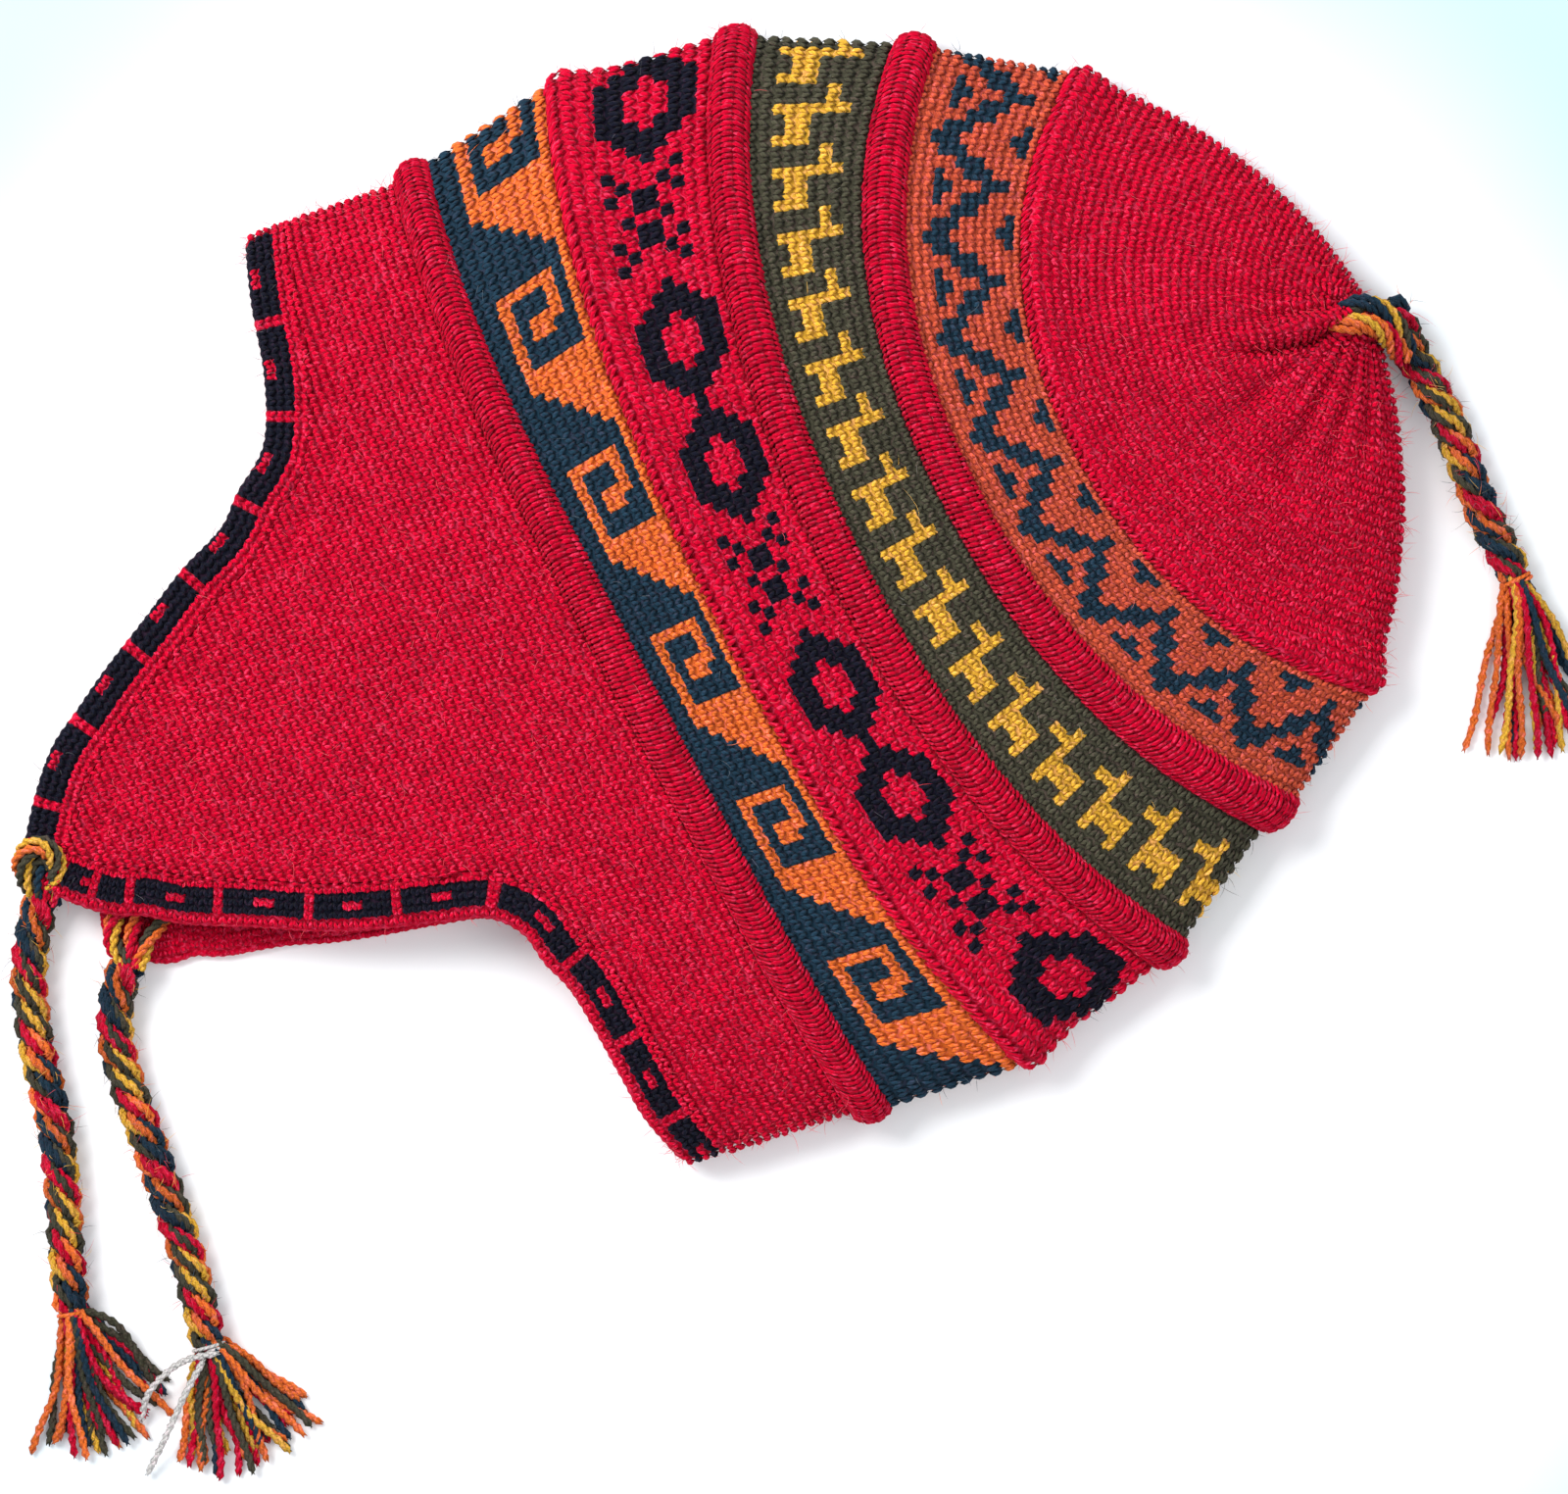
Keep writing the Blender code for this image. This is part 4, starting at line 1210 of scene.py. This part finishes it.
def loose_fibres(count, palette, material):
    """Fine fibres that stand off the knit all over it and most of all at its outline, and off the ropes."""
    chance = np.random.default_rng(11)
    heap = Heap()
    radius = 0.00006 * np.array((1, 1, 0.85, 0.6, 0.3))
    areas = {name: np.abs(entry[0].round).sum() * np.abs(entry[0].down).sum(0).mean() for name, entry in SHEETS.items()}
    for name, (sheet, rows, columns, colour, keep) in SHEETS.items():
        number = int(count * areas[name] / sum(areas.values()))
        along, share = chance.uniform(0, 1, number), chance.uniform(0, 0.5, number)
        fold = chance.uniform(0, 1, number) < 0.4
        share = np.where(fold, chance.normal(0, 0.006, number) + 0.5 * chance.integers(0, 2, number), share) % 1
        if name == "edging":
            along = np.where(chance.uniform(0, 1, number) < 0.6, chance.normal(0.5, 0.03, number), along)
        if keep is not None:
            kept = keep(along, share)
            along, share = along[kept], share[kept]
        number = len(along)
        row, column = np.minimum((along * rows).astype(int), rows - 1), (share * columns).astype(int) % columns
        zero = np.zeros(number)
        place = sheet.spot(along, share, zero)
        normal = sheet.spot(along, share, zero + 1) - place
        lean = normal * chance.uniform(0.1, 0.9, (number, 1)) + 0.75 * chance.normal(0, 1, (number, 3))
        lean -= np.minimum((lean * normal).sum(1, keepdims=True), 0) * normal
        lines = fibre_lines(chance, place + 0.0006 * normal, lean, 0.0048, 0.4)
        # The knit's fibres are their yarn's colour lightened as a painted highlight.
        tubes(heap, lines, radius, 3, colour(row, column) * 1.2 + 0.03)
    for knots in ROUTES.values():
        line = resampled(placed(knots, 12), 240)[0]
        side, up = rope_axes(line)
        spot, turn = chance.integers(6, 232, ROPE_HAIRS), chance.uniform(-0.4, math.pi + 0.4, ROPE_HAIRS)
        out = swung(turn, side[spot], up[spot])
        start = line[spot] + 0.0038 * out
        start[:, 2] = np.maximum(start[:, 2], 0.0015)
        lines = fibre_lines(chance, start, out + 0.9 * chance.normal(0, 1, (ROPE_HAIRS, 3)), 0.0038, 0.8)
        tubes(heap, lines, radius, 3, yarn_mix(palette, chance.choice(list("rrnyoot"), ROPE_HAIRS)))
    return finish_piece(heap.piece("loose_fibres"), material, "ear_flap_skirt")


# Settings, operators and the panel


def yarn_property(name, colour, words):
    return bpy.props.FloatVectorProperty(
        name=name, description=words, subtype="COLOR", size=3, min=0.0, max=1.0, default=colour
    )


class ChulloSettings(bpy.types.PropertyGroup):
    """Sizes and yarn colours of the hat."""

    red: yarn_property("Red yarn", (0.70, 0.001, 0.030), "Yarn of the plain parts and ridges")
    black: yarn_property("Black yarn", (0.009, 0.010, 0.020), "Yarn of the diamonds and the edging blocks")
    teal: yarn_property("Teal yarn", (0.016, 0.045, 0.075), "Dark blue-green yarn of the wave and zigzag bands")
    olive: yarn_property("Olive yarn", (0.075, 0.072, 0.046), "Ground yarn of the llama band")
    yellow: yarn_property("Yellow yarn", (0.86, 0.47, 0.045), "Yarn of the llamas")
    orange: yarn_property("Orange yarn", (0.92, 0.185, 0.030), "Yarn of the waves")
    rust: yarn_property("Rust yarn", (0.66, 0.10, 0.045), "Ground yarn of the zigzag band")
    white: yarn_property("White thread", (0.75, 0.73, 0.70), "Thread that binds one tassel")
    stitch_lift: bpy.props.FloatProperty(
        name="Stitch height", description="How far stitches stand out of the cloth", default=0.00095, unit="LENGTH"
    )
    rope_diameter: bpy.props.FloatProperty(
        name="Rope diameter", description="Thickness of the ties and the crown braid", default=0.0088, unit="LENGTH"
    )
    fibres: bpy.props.IntProperty(
        name="Loose fibres", description="How many fine fibres stand off the knit", default=3200, min=0
    )


def settings():
    return bpy.context.scene.chullo


def finish_named(name, make, *values):
    """A material by its name, made when it is first asked for."""
    return bpy.data.materials.get(name) or make(name, *values)


def knit_yarn():
    return finish_named("Knitted wool", yarn_finish, 2.0, 0.90, 0.7, 0.80)


def rope_yarn():
    # The lower base tone darkens the ropes as painted shade of their twisted grooves.
    return finish_named("Twisted wool", yarn_finish, 2.0, 0.70, 1.0, 0.74)


class CHULLO_OT_knit_bands(bpy.types.Operator):
    """Knits the four patterned bands"""

    bl_idname = "chullo.knit_bands"
    bl_label = "Knit the bands"

    def execute(self, context):
        s = settings()
        blank = "." * 32
        motif = tuple(a + b + a for a, b in zip(DIAMOND, CROSS))
        diamonds = (blank,) + motif + (blank,) * 3
        zigzag = []
        for row in range(13):
            line = ""
            for column in range(8):
                low = ZIGZAG_LOW[column] - 1
                peak = any(row == at and column in columns for at, columns in PEAKS)
                line += "o" if low <= row < low + 3 or peak else "."
            zigzag.append(line)
        bands = (
            ("wave_band", band_from(1), 2 * COLUMNS, WAVES, "teal", "orange", 3),
            ("diamond_band", lipped_face(2), 2 * COLUMNS, diamonds, "red", "black", 4),
            ("llama_band", band_from(4), 2 * COLUMNS, LLAMAS, "olive", "yellow", 5),
            ("zigzag_band", band_from(6), 144, tuple(zigzag[::-1]), "rust", "teal", 6),
        )
        for name, face, columns, chart, ground, figure, seed in bands:
            # Each band's inner skin is the red yarn darkened to 0.8 as painted shade inside the hat.
            yarns = (chart_colour(chart, linear(s, ground), linear(s, figure)), 0.8 * linear(s, "red"))
            knit_band(name, face, len(chart), columns, *yarns, s.stitch_lift, seed, knit_yarn())
        return {"FINISHED"}


class CHULLO_OT_roll_ridges(bpy.types.Operator):
    """Knits the three rolled ridges"""

    bl_idname = "chullo.roll_ridges"
    bl_label = "Roll the ridges"

    def execute(self, context):
        red = linear(settings(), "red")
        for name, first, columns in (("first_ridge", 0, 220), ("second_ridge", 3, 204), ("third_ridge", 5, 184)):
            # Painted shade: the ridges' stitches are the red yarn darkened to 0.82 and their inner skin darkened to
            # 0.7.
            yarns = (plain(0.82 * red), 0.7 * red)
            knit_band(name, ridge_face(first), 5, columns, *yarns, 0.0008, 8 + first, knit_yarn(), CLOSE_V)
        return {"FINISHED"}


class CHULLO_OT_knit_skirt(bpy.types.Operator):
    """Knits the plain part with both ear flaps"""

    bl_idname = "chullo.knit_skirt"
    bl_label = "Knit the ear flaps"

    def execute(self, context):
        s = settings()
        red = linear(s, "red")
        knit_skirt(plain(red), red, s.stitch_lift, knit_yarn())
        return {"FINISHED"}


class CHULLO_OT_knit_edging(bpy.types.Operator):
    """Knits the edging with its black blocks"""

    bl_idname = "chullo.knit_edging"
    bl_label = "Knit the edging"

    def execute(self, context):
        s = settings()
        red, black = linear(s, "red"), linear(s, "black")

        def colour(row, column):
            side = column % 150
            beat = side % 9
            turned = column < 73  # here the rim rolls under and the blocks reach the outline
            block = (beat > 0) & (row >= 1 + turned) & (row <= 3 + 2 * turned) & (side != 73) & (side != 77)
            eye = ((beat == 4) | (beat == 5)) & (row == 2 + 2 * turned)
            return np.where((block & ~eye)[:, None], black, red)

        knit_edging(colour, s.stitch_lift, knit_yarn())
        return {"FINISHED"}


class CHULLO_OT_knit_crown(bpy.types.Operator):
    """Knits the gathered crown"""

    bl_idname = "chullo.knit_crown"
    bl_label = "Knit the crown"

    def execute(self, context):
        s = settings()
        knit_crown(linear(s, "red"), s.stitch_lift, knit_yarn())
        return {"FINISHED"}


def palette_of(s):
    names = {"t": "teal", "o": "olive", "r": "red", "n": "orange", "y": "yellow"}
    return {letter: linear(s, name) for letter, name in names.items()}


class CHULLO_OT_twist_ropes(bpy.types.Operator):
    """Twists both ties and the crown braid, with their tassels and the loops that fasten them"""

    bl_idname = "chullo.twist_ropes"
    bl_label = "Twist the ties"

    def execute(self, context):
        s = settings()
        palette = palette_of(s)
        white = linear(s, "white")
        tassels = {TASSELS[name][0]: make_tassel(name, palette, white, rope_yarn()) for name in TASSELS}
        for name in ROUTES:
            made, centre = twist_rope(name, palette, rope_yarn())
        for name in LOOPS:
            yarn_loops(name, palette, rope_yarn())
        return {"FINISHED"}


class CHULLO_OT_lay_scene(bpy.types.Operator):
    """Sets up the floor, the light and the camera"""

    bl_idname = "chullo.lay_scene"
    bl_label = "Set the stage"

    def execute(self, context):
        bpy.ops.object.select_all(action="DESELECT")
        bpy.ops.mesh.primitive_plane_add(size=6.0, location=(0, 0, 0))
        floor = context.object
        floor.name = "table_top"
        floor.data.materials.append(floor_finish("White table"))
        turn = math.radians(-22.5)  # the picture's turn against the hat
        middle = Vector((0.0039, -0.0361, 0.010))
        data = bpy.data.cameras.new("overhead")
        seen_width = 0.3556
        data.lens, data.sensor_width, data.clip_start = 180.0, 36.0, 0.05
        camera = bpy.data.objects.new("overhead", data)
        camera.location = middle + Vector((0, 0, seen_width * data.lens / data.sensor_width))
        camera.rotation_euler = (0, 0, turn)
        context.collection.objects.link(camera)
        context.scene.camera = camera
        right, up = Vector((math.cos(turn), math.sin(turn), 0)), Vector((-math.sin(turn), math.cos(turn), 0))
        for name, place, size, power in (
            ("window", right * -0.9 + up * 0.7 + Vector((0, 0, 1.1)), 0.8, 26.0),
            ("fill", right * 0.9 + up * -0.3 + Vector((0, 0, 1.4)), 1.2, 7.0),
        ):
            light = bpy.data.lights.new(name, "AREA")
            light.size, light.energy = size, power
            lamp = bpy.data.objects.new(name, light)
            lamp.location = middle + place
            lamp.rotation_euler = (middle - lamp.location).to_track_quat("-Z", "Y").to_euler()
            context.collection.objects.link(lamp)
        world = context.scene.world or bpy.data.worlds.new("room")
        context.scene.world = world
        world.use_nodes = True
        room = world.node_tree.nodes["Background"].inputs
        room["Color"].default_value, room["Strength"].default_value = (0.93, 0.96, 1.0, 1.0), 0.76
        context.scene.view_settings.view_transform = "Standard"
        return {"FINISHED"}


class CHULLO_OT_raise_fibres(bpy.types.Operator):
    """Raises loose fibres from the knit"""

    bl_idname = "chullo.raise_fibres"
    bl_label = "Raise loose fibres"

    def execute(self, context):
        s = settings()
        loose_fibres(s.fibres, palette_of(s), finish_named("Loose wool", fibre_finish))
        return {"FINISHED"}


class CHULLO_PT_panel(bpy.types.Panel):
    """Lists the hat's settings and its steps"""

    bl_idname = "CHULLO_PT_panel"
    bl_label = "Chullo hat"
    bl_space_type = "VIEW_3D"
    bl_region_type = "UI"
    bl_category = "Chullo hat"

    def draw(self, context):
        for name in ChulloSettings.__annotations__:
            self.layout.prop(context.scene.chullo, name)
        for step in STEPS:
            self.layout.operator(step.bl_idname)


STEPS = (
    CHULLO_OT_lay_scene,
    CHULLO_OT_twist_ropes,
    CHULLO_OT_knit_skirt,
    CHULLO_OT_knit_edging,
    CHULLO_OT_knit_bands,
    CHULLO_OT_roll_ridges,
    CHULLO_OT_knit_crown,
    CHULLO_OT_raise_fibres,
)
CLASSES = (ChulloSettings, *STEPS, CHULLO_PT_panel)


def register():
    for made in CLASSES:
        bpy.utils.register_class(made)
    bpy.types.Scene.chullo = bpy.props.PointerProperty(type=ChulloSettings)


def unregister():
    del bpy.types.Scene.chullo
    for made in reversed(CLASSES):
        bpy.utils.unregister_class(made)


def main():
    """Builds the hat on its stage."""
    register()
    bpy.ops.chullo.lay_scene()
    bpy.ops.chullo.twist_ropes()
    bpy.ops.chullo.knit_skirt()
    bpy.ops.chullo.knit_edging()
    bpy.ops.chullo.knit_bands()
    bpy.ops.chullo.roll_ridges()
    bpy.ops.chullo.knit_crown()
    bpy.ops.chullo.raise_fibres()


if __name__ == "__main__":
    main()
